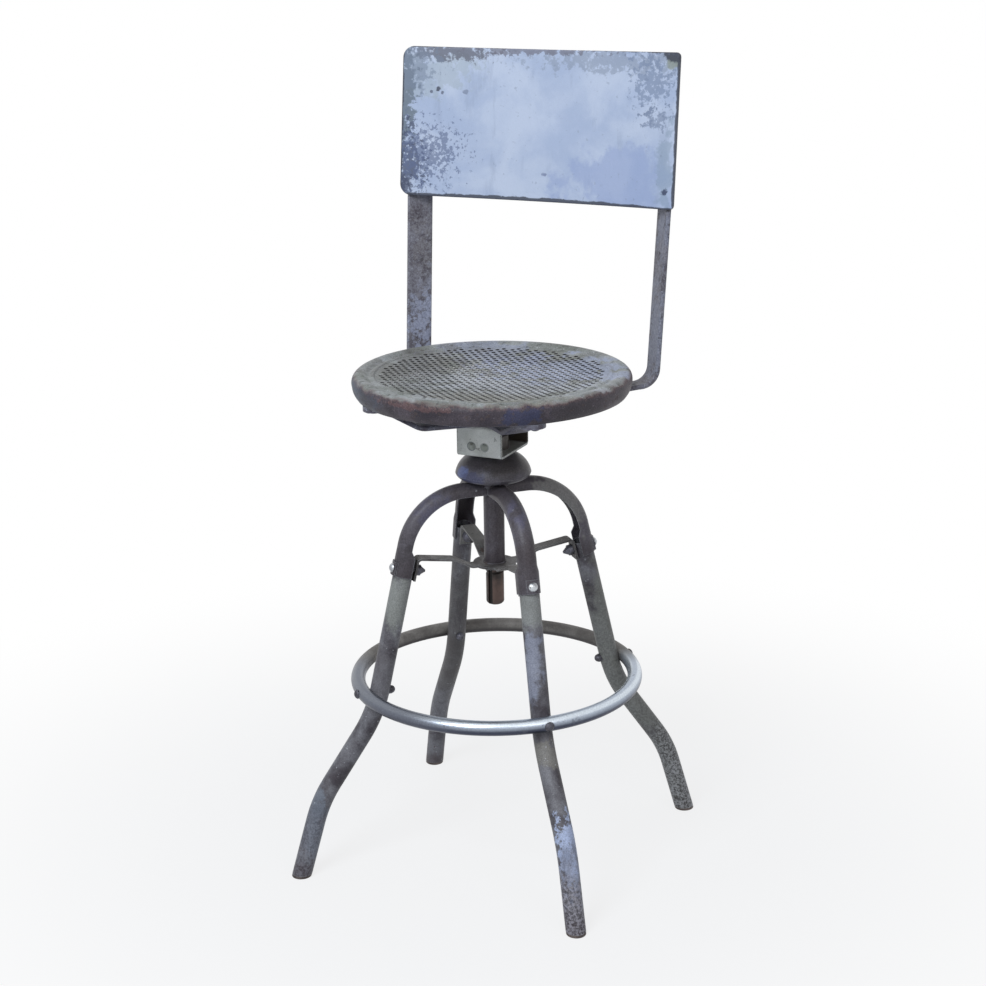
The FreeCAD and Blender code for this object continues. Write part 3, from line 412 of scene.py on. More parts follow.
class Finish:
    """A material under construction: one shader with colours and masks laid over it."""

    def __init__(self, name, roughness=0.5, metallic=0.0, gloss=0.5):
        make_effects()
        self.material = bpy.data.materials.new(name)
        self.material.use_nodes = True
        self.tree = self.material.node_tree
        self.tree.nodes.clear()
        self.shader = self.add("ShaderNodeBsdfPrincipled",
                               {"Roughness": roughness, "Metallic": metallic,
                                "Specular IOR Level": gloss})
        output = self.add("ShaderNodeOutputMaterial")
        self.tree.links.new(self.shader.outputs["BSDF"], output.inputs["Surface"])
        self.place = self.add("ShaderNodeTexCoord").outputs["Object"]

    def add(self, kind, inputs=None, **settings):
        """Add a node."""
        return add_node(self.tree, kind, inputs, **settings)

    def math(self, operation, *values, clamp=False):
        """Add a math node and return its result."""
        return calculate(self.tree, operation, *values, clamp=clamp)

    def effect(self, name, **inputs):
        """Place a shared effect with its own values and return its outputs."""
        named = {key.replace("_", " ").title(): value for key, value in inputs.items()}
        named["Vector"] = named.get("Vector", self.place)
        node = self.tree.nodes.new("ShaderNodeGroup")
        node.node_tree = EFFECTS[name]
        for key, value in named.items():
            if isinstance(value, bpy.types.NodeSocket):
                self.tree.links.new(value, node.inputs[key])
            else:
                node.inputs[key].default_value = value
        return node.outputs

    def over(self, mask, under, top, blend="MIX"):
        """Lay a colour over another one where the mask says."""
        node = self.add("ShaderNodeMix", {0: mask, 6: under, 7: top},
                        data_type="RGBA", blend_type=blend, clamp_factor=True)
        return node.outputs[2]

    def cover(self, colour, mask, strength, top):
        """Lay a colour over another one, only as strongly as told."""
        return self.over(self.math("MULTIPLY", mask, strength), colour, top)

    def centred(self, value, amount):
        """Spread a value of 0 to 1 evenly round zero, by an amount."""
        return self.math("MULTIPLY", self.math("SUBTRACT", value, 0.5), amount)

    def remap(self, value, *limits):
        """Spread a value between two limits, smoothly and clamped."""
        return remap(self.tree, value, *limits)

    def lay(self, colour, patches):
        """Lay the ragged patches of a table over a colour."""
        for centre, size, tint, strength, ragged, scale in patches:
            mask = self.effect("patch", centre=centre, size=size, ragged=ragged, scale=scale)["Mask"]
            colour = self.cover(colour, mask, strength, display(*tint))
        return colour

    def speckle(self, colour, places):
        """Lay the two tone grain of a table of places over a colour."""
        for centre, size, dark, light, strength in places:
            mask = self.effect("patch", centre=centre, size=size, ragged=0.5, scale=60.0)["Mask"]
            grain = self.over(self.effect("speckle")["Tone"], display(*dark), display(*light))
            colour = self.cover(colour, mask, strength, grain)
        return colour

    def shade(self, colour, value, low, high):
        """Darken and lighten a colour by a value that is spread round its middle."""
        tone = self.remap(value, 0.3, 0.7, low, high)
        grey = self.add("ShaderNodeCombineColor", {0: tone, 1: tone, 2: tone}).outputs[0]
        return self.over(1.0, colour, grey, "MULTIPLY")

    def upward(self):
        """Return how far the surface faces up, from -1 to 1."""
        normal = self.add("ShaderNodeNewGeometry").outputs["Normal"]
        return self.add("ShaderNodeSeparateXYZ", {0: normal}).outputs[2]

    def reach(self):
        """Return the surface point's distance from the stool's axis."""
        across, depth = self.split()[:2]
        return self.math("SQRT", self.math("ADD", self.math("MULTIPLY", across, across),
                                           self.math("MULTIPLY", depth, depth)))

    def split(self):
        """Return the surface point's three coordinates."""
        return self.add("ShaderNodeSeparateXYZ", {0: self.place}).outputs

    def set(self, name, value):
        """Link a socket of the shader."""
        self.tree.links.new(value, self.shader.inputs[name])

    def bump(self, height, strength, distance):
        """Roughen the surface by a height."""
        node = self.add("ShaderNodeBump",
                        {"Height": height, "Strength": strength, "Distance": distance})
        self.set("Normal", node.outputs[0])


def worn_paint(name, light, dark, rust, chalk, scale=14.0, chips=0.08, specks=0.08, rub=0.0012,
               roughness=0.5, marks=0.1, gloss=0.25, patches=(), speckled=()):
    """Return a finish of old paint with mottle, patches, scuffs, chips, specks and rubbed edges."""
    finish = Finish(name, roughness, gloss=gloss)
    worn = finish.effect("worn", scale=scale, chips=chips, specks=specks)
    runs = finish.effect("marks", scale=scale * 2.4, amount=marks)
    edge = finish.effect("edge", radius=rub)
    colour = finish.over(worn["Mottle"], dark, light)
    colour = finish.lay(colour, patches)
    colour = finish.cover(colour, runs["Marks"], 0.45, dark)
    colour = finish.cover(colour, worn["Chips"], 0.75, rust)
    colour = finish.cover(colour, worn["Specks"], 0.6, chalk)
    colour = finish.shade(colour, worn["Grain"], 0.74, 1.22)
    colour = finish.speckle(colour, speckled)
    colour = finish.cover(colour, edge["Edge"], 0.4, chalk)
    finish.set("Base Color", colour)
    rough = finish.math("ADD", roughness, finish.math("MULTIPLY", worn["Chips"], 0.25))
    rough = finish.math("SUBTRACT", rough, finish.math("MULTIPLY", edge["Edge"], 0.12), clamp=True)
    finish.set("Roughness", rough)
    relief = finish.math("SUBTRACT", worn["Grain"], finish.math("MULTIPLY", worn["Chips"], 0.9))
    finish.bump(relief, 0.35, 0.0004)
    return finish.material


# Rows of a table of speckles: centre and size in metres, dark and light display colour, and
# strength
LEG_SPECKLES = (
    ((0.188, 0.188, 0.060), (0.070, 0.070, 0.095), (64, 62, 60), (176, 176, 176), 0.85),
    ((0.190, -0.190, 0.026), (0.050, 0.050, 0.050), (54, 49, 52), (168, 164, 172), 0.65),
    ((-0.190, -0.190, 0.040), (0.050, 0.050, 0.070), (64, 60, 66), (138, 138, 146), 0.40),
    ((0.150, 0.150, 0.200), (0.120, 0.120, 0.200), (92, 91, 88), (142, 143, 138), 0.35),
)


# Rows of a table of patches: centre and size in metres, display colour, strength,
# raggedness, and scale of the ragged edge
LEG_PATCHES_AND_HIGHLIGHT = (
    ((-0.095, -0.095, 0.362), (0.030, 0.030, 0.042), (146, 148, 142), 0.75, 0.6, 60),
    ((-0.112, -0.112, 0.270), (0.020, 0.040, 0.060), (112, 109, 112), 0.5, 0.8, 50),
    ((-0.182, -0.180, 0.080), (0.022, 0.040, 0.062), (122, 130, 141), 0.6, 0.7, 70),
    ((0.094, -0.094, 0.378), (0.030, 0.030, 0.026), (144, 146, 141), 0.7, 0.6, 60),
    ((0.103, -0.106, 0.305), (0.014, 0.030, 0.052), (150, 154, 170), 0.7, 0.7, 60),
    ((0.126, -0.128, 0.202), (0.024, 0.024, 0.022), (132, 128, 118), 0.6, 0.8, 60),
    # The next two rows are a painted pale blue highlight on the lower half of the front right leg.
    ((0.181, -0.181, 0.128), (0.020, 0.026, 0.050), (176, 187, 214), 0.95, 1.5, 110),
    ((0.188, -0.186, 0.075), (0.016, 0.020, 0.034), (160, 166, 186), 0.8, 2.2, 160),
    ((0.135, 0.135, 0.260), (0.070, 0.070, 0.200), (122, 123, 116), 0.7, 0.5, 30),
    ((-0.120, 0.120, 0.260), (0.070, 0.070, 0.200), (92, 89, 87), 0.7, 0.5, 30),
    ((0.0, 0.0, 0.0), (0.5, 0.5, 0.030), (84, 74, 76), 0.6, 0.4, 90),
)


def leg_finish(paint):
    """Return the legs' finish: grey above, pale patches with a painted highlight low on the front right
    leg, speckled near the feet.
    """
    return worn_paint("leg_paint", paint.leg, paint.leg_dark, paint.rust, paint.chalk, scale=22.0,
                      chips=0.03, specks=0.07, roughness=0.46, marks=0.13, patches=LEG_PATCHES_AND_HIGHLIGHT,
                      speckled=LEG_SPECKLES)


ARM_PATCHES_AND_REFLECTIONS = (
    # The first two rows are painted bluish reflections on the front left and front right arms.
    ((-0.058, -0.060, 0.476), (0.026, 0.026, 0.034), (92, 91, 112), 0.5, 0.8, 60),
    ((0.064, -0.062, 0.462), (0.024, 0.024, 0.040), (104, 102, 124), 0.6, 0.8, 60),
    ((0.060, 0.060, 0.475), (0.050, 0.050, 0.050), (138, 136, 132), 0.7, 0.8, 60),
    ((-0.078, -0.078, 0.425), (0.030, 0.030, 0.034), (66, 62, 66), 0.8, 0.8, 60),
    ((0.0, 0.0, 0.398), (0.16, 0.16, 0.024), (66, 60, 64), 0.7, 0.5, 50),
)


def arm_finish(paint):
    """Return the finish of the arms, hub and sleeve: dark, with painted bluish reflections on the front
    arms.
    """
    return worn_paint("arm_paint", paint.arm, paint.arm_dark, display(54, 44, 41), paint.chalk,
                      scale=16.0, chips=0.02, specks=0.03, roughness=0.42, marks=0.08,
                      patches=ARM_PATCHES_AND_REFLECTIONS)


COLLAR_PATCHES_AND_REFLECTION = (
    # The first two rows are a painted bluish reflection on the collar's left front.
    ((-0.026, -0.040, 0.529), (0.015, 0.013, 0.0095), (108, 120, 166), 0.85, 0.5, 120),
    ((-0.008, -0.048, 0.525), (0.020, 0.014, 0.009), (78, 80, 108), 0.7, 0.6, 100),
    ((0.030, 0.0, 0.538), (0.050, 0.060, 0.010), (70, 65, 63), 0.6, 0.5, 60),
)


def collar_finish(paint):
    """Return the finish of the lifting collar, smoother than the arms, with a painted bluish reflection
    at its left front.
    """
    return worn_paint("collar_paint", display(104, 101, 109), display(76, 72, 76),
                      display(50, 42, 40), paint.chalk, scale=18.0, chips=0.02, specks=0.02,
                      roughness=0.36, marks=0.05, patches=COLLAR_PATCHES_AND_REFLECTION)


BRACE_PATCHES = (
    ((-0.06, 0.06, 0.412), (0.045, 0.045, 0.030), (134, 131, 126), 0.7, 0.7, 70),
)


def brace_finish(paint):
    """Return the finish of the brace."""
    return worn_paint("brace_paint", display(112, 109, 107), display(66, 62, 61), paint.rust,
                      paint.chalk, scale=34.0, chips=0.06, specks=0.06, roughness=0.5,
                      patches=BRACE_PATCHES)


UPRIGHT_PATCHES_AND_SHADE = (
    ((-0.145, 0.125, 0.685), (0.040, 0.040, 0.060), (176, 184, 210), 0.8, 1.4, 110),
    ((-0.150, 0.130, 0.790), (0.030, 0.030, 0.070), (134, 131, 133), 0.6, 1.5, 110),
    ((0.165, 0.125, 0.700), (0.030, 0.030, 0.070), (126, 131, 148), 0.7, 1.2, 90),
    ((0.170, 0.130, 0.840), (0.030, 0.030, 0.060), (124, 130, 150), 0.6, 1.2, 90),
    # The last row is painted shade on the cross bars' front ends under the seat.
    ((0.0, -0.06, 0.62), (0.15, 0.12, 0.03), (74, 73, 88), 0.8, 0.3, 40),
)
UPRIGHT_SPECKLES = (
    ((0.0, 0.12, 0.75), (0.4, 0.2, 0.25), (80, 74, 78), (156, 157, 164), 0.35),
)


def upright_finish(paint):
    """Return the finish of the cross bars and uprights: grey with pale scuffs, and painted shade under
    the seat's front.
    """
    return worn_paint("upright_paint", paint.upright, display(78, 72, 80), display(52, 45, 44),
                      display(180, 184, 196), scale=26.0, chips=0.08, specks=0.12,
                      roughness=0.48, marks=0.14, patches=UPRIGHT_PATCHES_AND_SHADE,
                      speckled=UPRIGHT_SPECKLES)


# Box bracket, in metres: its front plate's back and its floor, which bound the painted shade inside the
# box, and the painted shadow rings round its rivets.
# Each rivet has its place across and its shadow ring's strength.
BOX_FRONT = (-0.0405, -0.036)
BOX_FLOOR = (0.5545, 0.5560)
RIVET_HEIGHT = 0.566
RIVET_SHADOW_RADIUS = 0.0050
RIVET_SHADOW_EDGE = (0.0016, 0.0005)
RIVET_PLACES = ((-0.0106, 0.75), (0.0076, 0.45))


def box_finish(paint):
    """Return the box bracket's finish: pale yellowish grey with dark edges, painted shade inside and
    painted shadow rings round its rivets.
    """
    finish = Finish("box_paint", 0.55, gloss=0.25)
    worn = finish.effect("worn", scale=40.0, chips=0.06, specks=0.05)
    edge = finish.effect("edge", radius=0.0026)
    colour = finish.over(worn["Mottle"], paint.box, display(202, 203, 194))
    across, depth, height = finish.split()
    # Painted shade inside the box, behind its front plate and above its floor.
    inner = finish.math("MULTIPLY", finish.remap(depth, *BOX_FRONT),
                        finish.remap(height, *BOX_FLOOR))
    colour = finish.over(inner, colour, display(70, 62, 52))
    # A painted shadow ring round each rivet.
    for place, strength in RIVET_PLACES:
        aside = finish.math("SUBTRACT", across, place)
        above = finish.math("SUBTRACT", height, RIVET_HEIGHT)
        reach = finish.math("SQRT", finish.math("ADD", finish.math("MULTIPLY", aside, aside),
                                                finish.math("MULTIPLY", above, above)))
        rivet_shadow = finish.math("ABSOLUTE", finish.math("SUBTRACT", reach, RIVET_SHADOW_RADIUS))
        rivet_shadow = finish.remap(rivet_shadow, *RIVET_SHADOW_EDGE)
        colour = finish.cover(colour, rivet_shadow, strength, display(84, 88, 90))
    colour = finish.cover(colour, worn["Chips"], 0.6, display(96, 92, 78))
    colour = finish.shade(colour, worn["Grain"], 0.86, 1.1)
    colour = finish.cover(colour, edge["Edge"], 0.9, display(66, 66, 58))
    finish.set("Base Color", colour)
    finish.set("Roughness", finish.remap(worn["Grain"], 0.3, 0.7, 0.46, 0.64))
    finish.bump(worn["Grain"], 0.3, 0.0004)
    return finish.material


# Foot ring: slope of the line from its rubbed front to its dull back, and where it dulls,
# in metres behind the stool's middle and to its left
RING_SLOPE = 0.47
RING_DULLS_BEHIND = (0.0, 0.075)
RING_DULLS_LEFT = (-0.02, -0.13)


def ring_finish(paint):
    """Return the foot ring's finish: rubbed bright in front with a painted highlight on top and painted
    shade below, dull and brown behind.
    """
    finish = Finish("ring_steel", 0.3, 0.9)
    worn = finish.effect("worn", scale=24.0, chips=0.06, specks=0.05)
    across, depth = finish.split()[:2]
    up = finish.upward()
    ragged = finish.centred(worn["Grain"], 0.05)
    away = finish.math("MULTIPLY_ADD", across, -RING_SLOPE, depth)
    dull = finish.remap(finish.math("ADD", away, ragged), *RING_DULLS_BEHIND)
    # Painted shade and light: the rubbed front is dark on its lower half and lighter above, by how far
    # it faces up.
    bright = finish.over(finish.remap(up, -0.35, 0.60), display(66, 70, 86),
                         display(172, 182, 196))
    bright = finish.cover(bright, worn["Chips"], 0.6, display(96, 100, 112))
    # A painted highlight band along the top of the ring's front.
    painted_highlight = finish.math("MULTIPLY", finish.remap(up, 0.42, 0.66),
                        finish.remap(up, 0.99, 0.88))
    bright = finish.cover(bright, painted_highlight, 0.9, paint.ring)
    old = finish.over(worn["Mottle"], display(100, 96, 92), display(134, 130, 125))
    # Painted shade on the underside of the dull back.
    old = finish.over(finish.remap(up, 0.1, -0.5), old, display(64, 60, 60))
    aside = finish.math("MULTIPLY_ADD", depth, RING_SLOPE, across)
    left = finish.remap(finish.math("ADD", aside, ragged), *RING_DULLS_LEFT)
    bright = finish.cover(bright, left, 0.85, display(92, 95, 106))
    colour = finish.over(dull, bright, old)
    colour = finish.shade(colour, worn["Grain"], 0.80, 1.16)
    colour = finish.cover(colour, worn["Specks"], 0.4, paint.rust)
    finish.set("Base Color", colour)
    finish.set("Metallic", finish.math("SUBTRACT", 0.92, finish.math("MULTIPLY", dull, 0.75)))
    rough = finish.math("MULTIPLY_ADD", dull, 0.26, 0.24)
    finish.set("Roughness", finish.math("MULTIPLY_ADD", worn["Grain"], 0.16, rough))
    finish.bump(worn["Grain"], 0.25, 0.0003)
    return finish.material


def screw_finish(screw, paint):
    """Return the spindle's finish: brown steel with old grease, a rubbed crest, and painted shade in
    the keyway and on the journal and stub.
    """
    finish = Finish("spindle_steel", 0.42, 0.35)
    worn = finish.effect("worn", scale=34.0, chips=0.08, specks=0.05)
    marks = finish.effect("marks", scale=60.0, amount=0.12)
    edge = finish.effect("edge", radius=0.0006)
    colour = finish.over(worn["Mottle"], screw.dark, screw.steel)
    colour = finish.cover(colour, marks["Marks"], 0.4, display(116, 84, 70))
    colour = finish.cover(colour, worn["Chips"], 0.6, paint.rust)
    colour = finish.cover(colour, edge["Edge"], 0.3, display(134, 122, 114))
    # Painted shade: near black less than 9.8 mm from the axis, in the keyway, on the journal and on the
    # stub.
    sunk = finish.remap(finish.reach(), 0.0108, 0.0098)
    colour = finish.over(sunk, colour, display(30, 26, 25))
    finish.set("Base Color", colour)
    finish.set("Roughness", finish.remap(worn["Grain"], 0.3, 0.7, 0.34, 0.56))
    finish.bump(worn["Grain"], 0.3, 0.0003)
    return finish.material


def bolt_finish(name, light, dark, metallic, roughness):
    """Return the finish of bolts and nuts."""
    finish = Finish(name, roughness, metallic)
    worn = finish.effect("worn", scale=70.0, chips=0.08, specks=0.05)
    edge = finish.effect("edge", radius=0.0006)
    colour = finish.over(worn["Mottle"], dark, light)
    colour = finish.cover(colour, worn["Chips"], 0.7, display(74, 60, 54))
    colour = finish.cover(colour, edge["Edge"], 0.5, light)
    finish.set("Base Color", colour)
    finish.set("Roughness", finish.math("MULTIPLY_ADD", worn["Grain"], 0.24, roughness - 0.1))
    finish.bump(worn["Grain"], 0.2, 0.0002)
    return finish.material


def weld_finish():
    """Return the finish of the painted weld beads."""
    finish = Finish("weld_bead", 0.5, 0.2, gloss=0.25)
    worn = finish.effect("worn", scale=60.0, chips=0.1, specks=0.1)
    colour = finish.over(worn["Mottle"], display(64, 60, 62), display(86, 83, 88))
    colour = finish.cover(colour, worn["Chips"], 0.7, display(70, 54, 46))
    finish.set("Base Color", colour)
    finish.bump(worn["Grain"], 0.4, 0.0003)
    return finish.material


SEAT_TOP_PATCHES = (
    ((0.030, -0.020, 0.65), (0.125, 0.075, 0.05), (196, 199, 205), 0.60, 1.3, 40),
    ((0.070, 0.060, 0.65), (0.110, 0.070, 0.05), (164, 173, 200), 0.60, 1.3, 40),
    ((-0.060, 0.110, 0.65), (0.080, 0.050, 0.05), (154, 160, 182), 0.55, 1.3, 40),
    ((-0.115, 0.010, 0.65), (0.060, 0.095, 0.05), (116, 114, 110), 0.60, 1.2, 40),
    ((0.060, -0.115, 0.65), (0.110, 0.040, 0.05), (142, 140, 129), 0.60, 1.2, 40),
)


def pan_top(finish, pan, worn, coarse):
    """Return the colour of the seat's top: speckled grey, chalky in the middle, blue behind."""
    marks = finish.effect("marks", scale=26.0, stretch=(0.35, 1.0, 1.0), amount=0.12)
    colour = finish.over(worn["Mottle"], pan.top, display(124, 127, 121))
    colour = finish.lay(colour, SEAT_TOP_PATCHES)
    colour = finish.cover(colour, marks["Marks"], 0.4, display(92, 91, 88))
    colour = finish.cover(colour, coarse["Chips"], 0.5, display(74, 70, 68))
    colour = finish.cover(colour, coarse["Specks"], 0.8, display(228, 230, 236))
    return finish.shade(colour, worn["Grain"], 0.70, 1.28)


SKIRT_PATCHES = (
    ((0.107, -0.141, 0.640), (0.030, 0.030, 0.011), (52, 60, 92), 0.6, 1.3, 90),
    ((0.150, -0.090, 0.640), (0.030, 0.050, 0.020), (60, 56, 60), 0.7, 1.0, 60),
    ((-0.020, -0.175, 0.648), (0.060, 0.030, 0.004), (112, 84, 82), 0.5, 1.2, 90),
)


# Azimuths, in radians, between which the skirt turns from brown to blue grey
BLUE_SIDE = (-1.9, -2.35)


def pan_skirt(finish, pan, worn, coarse):
    """Return the colour of the seat's skirt: dark brown, blue grey at one side, chipped."""
    across, depth = finish.split()[:2]
    turn = finish.math("ARCTAN2", depth, across)
    blue_side = finish.math("ADD", turn, finish.centred(worn["Mottle"], 0.35))
    blue_side = finish.remap(blue_side, *BLUE_SIDE)
    colour = finish.over(worn["Mottle"], pan.skirt, display(54, 49, 56))
    colour = finish.over(blue_side, colour, pan.skirt_blue)
    colour = finish.lay(colour, SKIRT_PATCHES)
    colour = finish.cover(colour, coarse["Chips"], 0.5, display(84, 72, 68))
    colour = finish.cover(colour, coarse["Specks"], 0.5, display(150, 144, 144))
    return finish.shade(colour, worn["Grain"], 0.66, 1.3)


# Where the seat's colours meet, as heights and distances from the axis in metres
SKIRT_TO_TOP = (0.6515, 0.6545)
BRIM_TO_TOP = (0.170, 0.166)
BRIM = (0.1690, 0.1725)
EDGE_LINE_LOW = (0.6485, 0.6525)
EDGE_LINE_HIGH = (0.6560, 0.6540)
PUNCHED_FIELD = (0.1530, 0.1500)

# How far a surface faces up, between which the painted shade on the hole walls and under the dish fades
# in
HOLE_SHADE_FACING = (0.80, 0.45)


def pan_finish(pan, paint):
    """Return the seat pan's finish: grey top, dark skirt, painted shade in the perforations and under
    the dish.
    """
    finish = Finish("seat_paint", 0.45, gloss=0.25)
    worn = finish.effect("worn", scale=20.0, chips=0.09, specks=0.12)
    coarse = finish.effect("worn", scale=46.0, chips=0.10, specks=0.09)
    edge = finish.effect("edge", radius=0.0011)
    height = finish.split()[2]
    wide = finish.reach()
    up = finish.upward()
    step = finish.math("ADD", height, finish.centred(coarse["Mottle"], 0.003))
    is_top = finish.math("MAXIMUM", finish.remap(step, *SKIRT_TO_TOP),
                         finish.remap(wide, *BRIM_TO_TOP))
    colour = finish.over(is_top, pan_skirt(finish, pan, worn, coarse),
                         pan_top(finish, pan, worn, coarse))
    brim = finish.remap(wide, *BRIM)
    line = finish.math("MULTIPLY", finish.remap(step, *EDGE_LINE_LOW),
                       finish.remap(step, *EDGE_LINE_HIGH))
    broken = finish.remap(worn["Grain"], 0.40, 0.62, 0.05, 0.55)
    line = finish.math("MULTIPLY", finish.math("MULTIPLY", line, brim), broken)
    colour = finish.over(line, colour, display(122, 96, 92))
    inside = finish.remap(wide, *PUNCHED_FIELD)
    # Painted shade: the hole walls and the dish's underside inside the punched field are near black.
    hole_shade = finish.math("MULTIPLY", finish.remap(up, *HOLE_SHADE_FACING), inside)
    colour = finish.over(hole_shade, colour, display(34, 31, 31))
    rubbed = finish.math("MULTIPLY", edge["Edge"], brim)
    colour = finish.cover(colour, rubbed, 0.5, paint.chalk)
    finish.set("Base Color", colour)
    rough = finish.math("MULTIPLY_ADD", coarse["Chips"], 0.2, 0.40)
    finish.set("Roughness", finish.math("MULTIPLY_ADD", worn["Grain"], 0.16, rough))
    relief = finish.math("SUBTRACT", worn["Grain"], finish.math("MULTIPLY", coarse["Chips"], 0.7))
    finish.bump(relief, 0.4, 0.0004)
    return finish.material


PANEL_PATCHES = (
    ((0.110, 0.16, 0.880), (0.085, 0.10, 0.045), (150, 165, 202), 0.60, 0.9, 30),
    ((-0.140, 0.16, 1.012), (0.050, 0.10, 0.026), (160, 172, 178), 0.45, 1.6, 50),
    ((0.100, 0.16, 1.030), (0.110, 0.10, 0.015), (142, 152, 170), 0.65, 1.8, 100),
    ((-0.125, 0.16, 1.0380), (0.066, 0.10, 0.0125), (92, 92, 104), 0.80, 1.5, 110),
    ((-0.020, 0.16, 1.041), (0.090, 0.10, 0.0065), (112, 110, 122), 0.75, 1.8, 120),
    ((-0.191, 0.14, 0.990), (0.0150, 0.10, 0.085), (92, 104, 112), 0.80, 1.5, 110),
    ((-0.176, 0.14, 1.020), (0.026, 0.10, 0.030), (120, 132, 152), 0.60, 1.9, 110),
    ((-0.184, 0.14, 0.890), (0.022, 0.10, 0.042), (66, 74, 98), 0.85, 2.2, 150),
    ((-0.160, 0.14, 0.905), (0.034, 0.10, 0.030), (94, 106, 138), 0.70, 2.8, 170),
    ((-0.190, 0.14, 0.860), (0.012, 0.10, 0.016), (70, 76, 98), 0.80, 1.6, 120),
    ((0.156, 0.15, 1.005), (0.022, 0.10, 0.030), (124, 138, 164), 0.70, 2.8, 130),
    ((0.165, 0.15, 0.962), (0.016, 0.10, 0.012), (126, 138, 162), 0.70, 2.6, 130),
    ((0.178, 0.14, 0.900), (0.012, 0.10, 0.060), (146, 162, 180), 0.60, 1.2, 60),
    ((0.184, 0.14, 1.030), (0.012, 0.10, 0.010), (142, 148, 136), 0.80, 0.8, 90),
    ((0.186, 0.14, 1.040), (0.018, 0.10, 0.009), (66, 70, 80), 0.95, 0.7, 110),
    ((-0.1447, 0.15, 0.9885), (0.0034, 0.10, 0.0034), (66, 70, 86), 0.90, 0.6, 400),
    ((-0.1540, 0.15, 0.9850), (0.0024, 0.10, 0.0022), (92, 98, 116), 0.85, 0.6, 400),
    ((-0.1390, 0.15, 0.9840), (0.0024, 0.10, 0.0022), (96, 102, 120), 0.85, 0.6, 400),
    ((-0.1070, 0.15, 0.9850), (0.0044, 0.10, 0.0034), (126, 136, 158), 0.80, 0.8, 300),
    ((0.0060, 0.15, 0.8830), (0.0040, 0.10, 0.0024), (120, 130, 160), 0.80, 0.8, 300),
    ((0.1800, 0.14, 0.8720), (0.0050, 0.10, 0.0040), (58, 66, 92), 0.90, 0.9, 200),
)


# Back panel's worn rim, in metres: the height of its top, and the width of the rim
PANEL_TOP = 1.0439
PANEL_RIM = (0.0030, 0.0016)


def panel_finish(panel):
    """Return the back panel's finish: pale blue, chalky, dark along its worn edges."""
    finish = Finish("panel_paint", 0.45, gloss=0.3)
    worn = finish.effect("worn", scale=13.0, chips=0.05, specks=0.03)
    fine = finish.effect("worn", scale=52.0, chips=0.06, specks=0.06)
    brushed = finish.effect("marks", scale=40.0, stretch=(1.0, 1.0, 0.22), amount=0.10)
    across, _, height = finish.split()
    colour = finish.over(worn["Mottle"], panel.paint, panel.chalk)
    colour = finish.cover(colour, brushed["Marks"], 0.30, display(142, 154, 178))
    colour = finish.lay(colour, PANEL_PATCHES)
    colour = finish.cover(colour, fine["Chips"], 0.35, display(128, 138, 158))
    colour = finish.cover(colour, fine["Specks"], 0.35, display(214, 221, 234))
    colour = finish.shade(colour, fine["Grain"], 0.93, 1.05)
    ragged = finish.centred(fine["Mottle"], 0.0016)
    rim = finish.math("MINIMUM", finish.math("SUBTRACT", PANEL_TOP, height),
                      finish.math("SUBTRACT", height, PANEL_BOTTOM * MM))
    rim = finish.math("MINIMUM", rim, finish.math("SUBTRACT", PANEL_HALF_WIDTH * MM,
                                                  finish.math("ABSOLUTE", across)))
    rim = finish.remap(finish.math("ADD", rim, ragged), *PANEL_RIM)
    colour = finish.cover(colour, rim, 0.92, panel.bare)
    finish.set("Base Color", colour)
    finish.set("Roughness", finish.math("MULTIPLY_ADD", worn["Grain"], 0.2, 0.34))
    relief = finish.math("SUBTRACT", worn["Grain"], finish.math("MULTIPLY", fine["Chips"], 0.6))
    finish.bump(relief, 0.22, 0.0003)
    return finish.material


# Mesh and tree helpers


def make_piece(name, points, faces, edges=()):
    """Return a new object at the origin from points in metres."""
    mesh = bpy.data.meshes.new(name)
    mesh.from_pydata(points, edges, faces)
    mesh.update()
    piece = bpy.data.objects.new(name, mesh)
    bpy.context.scene.collection.objects.link(piece)
    return piece


def grow(piece, tree, values):
    """Run a geometry tree on a piece, keep the result as its mesh, and drop the modifier."""
    modifier = piece.modifiers.new(tree.name, "NODES")
    modifier.node_group = tree
    for item in tree.interface.items_tree:
        if item.item_type == "SOCKET" and item.in_out == "INPUT" and item.name in values:
            modifier[item.identifier] = values[item.name]
    depsgraph = bpy.context.evaluated_depsgraph_get()
    made = bpy.data.meshes.new_from_object(piece.evaluated_get(depsgraph))
    piece.modifiers.remove(modifier)
    piece.data = made
    made.name = piece.name


def soften(piece, degrees_limit):
    """Shade a piece smooth, with sharp edges past an angle."""
    piece.data.shade_smooth()
    piece.data.set_sharp_from_angle(angle=radians(degrees_limit))


def settle(piece, body, slot_name, *nodes):
    """Fix a finished piece to its body, in place of the given nodes."""
    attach(piece, body)
    if nodes:
        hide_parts(*nodes)


def arc_points(start, middle, end, steps):
    """Return points on the arc through three flat points, without its start."""
    (ax, ay), (bx, by), (cx, cy) = start, middle, end
    bend = 2 * (ax * (by - cy) + bx * (cy - ay) + cx * (ay - by))
    a2, b2, c2 = ax * ax + ay * ay, bx * bx + by * by, cx * cx + cy * cy
    ux = (a2 * (by - cy) + b2 * (cy - ay) + c2 * (ay - by)) / bend
    uy = (a2 * (cx - bx) + b2 * (ax - cx) + c2 * (bx - ax)) / bend
    radius = hypot(ax - ux, ay - uy)
    first = atan2(ay - uy, ax - ux)
    half = (atan2(by - uy, bx - ux) - first + pi) % (2 * pi) - pi
    whole = (atan2(cy - uy, cx - ux) - first) % (2 * pi)
    if half < 0:
        whole -= 2 * pi
    turns = [first + whole * step / steps for step in range(1, steps + 1)]
    return [(ux + radius * cos(turn), uy + radius * sin(turn)) for turn in turns]


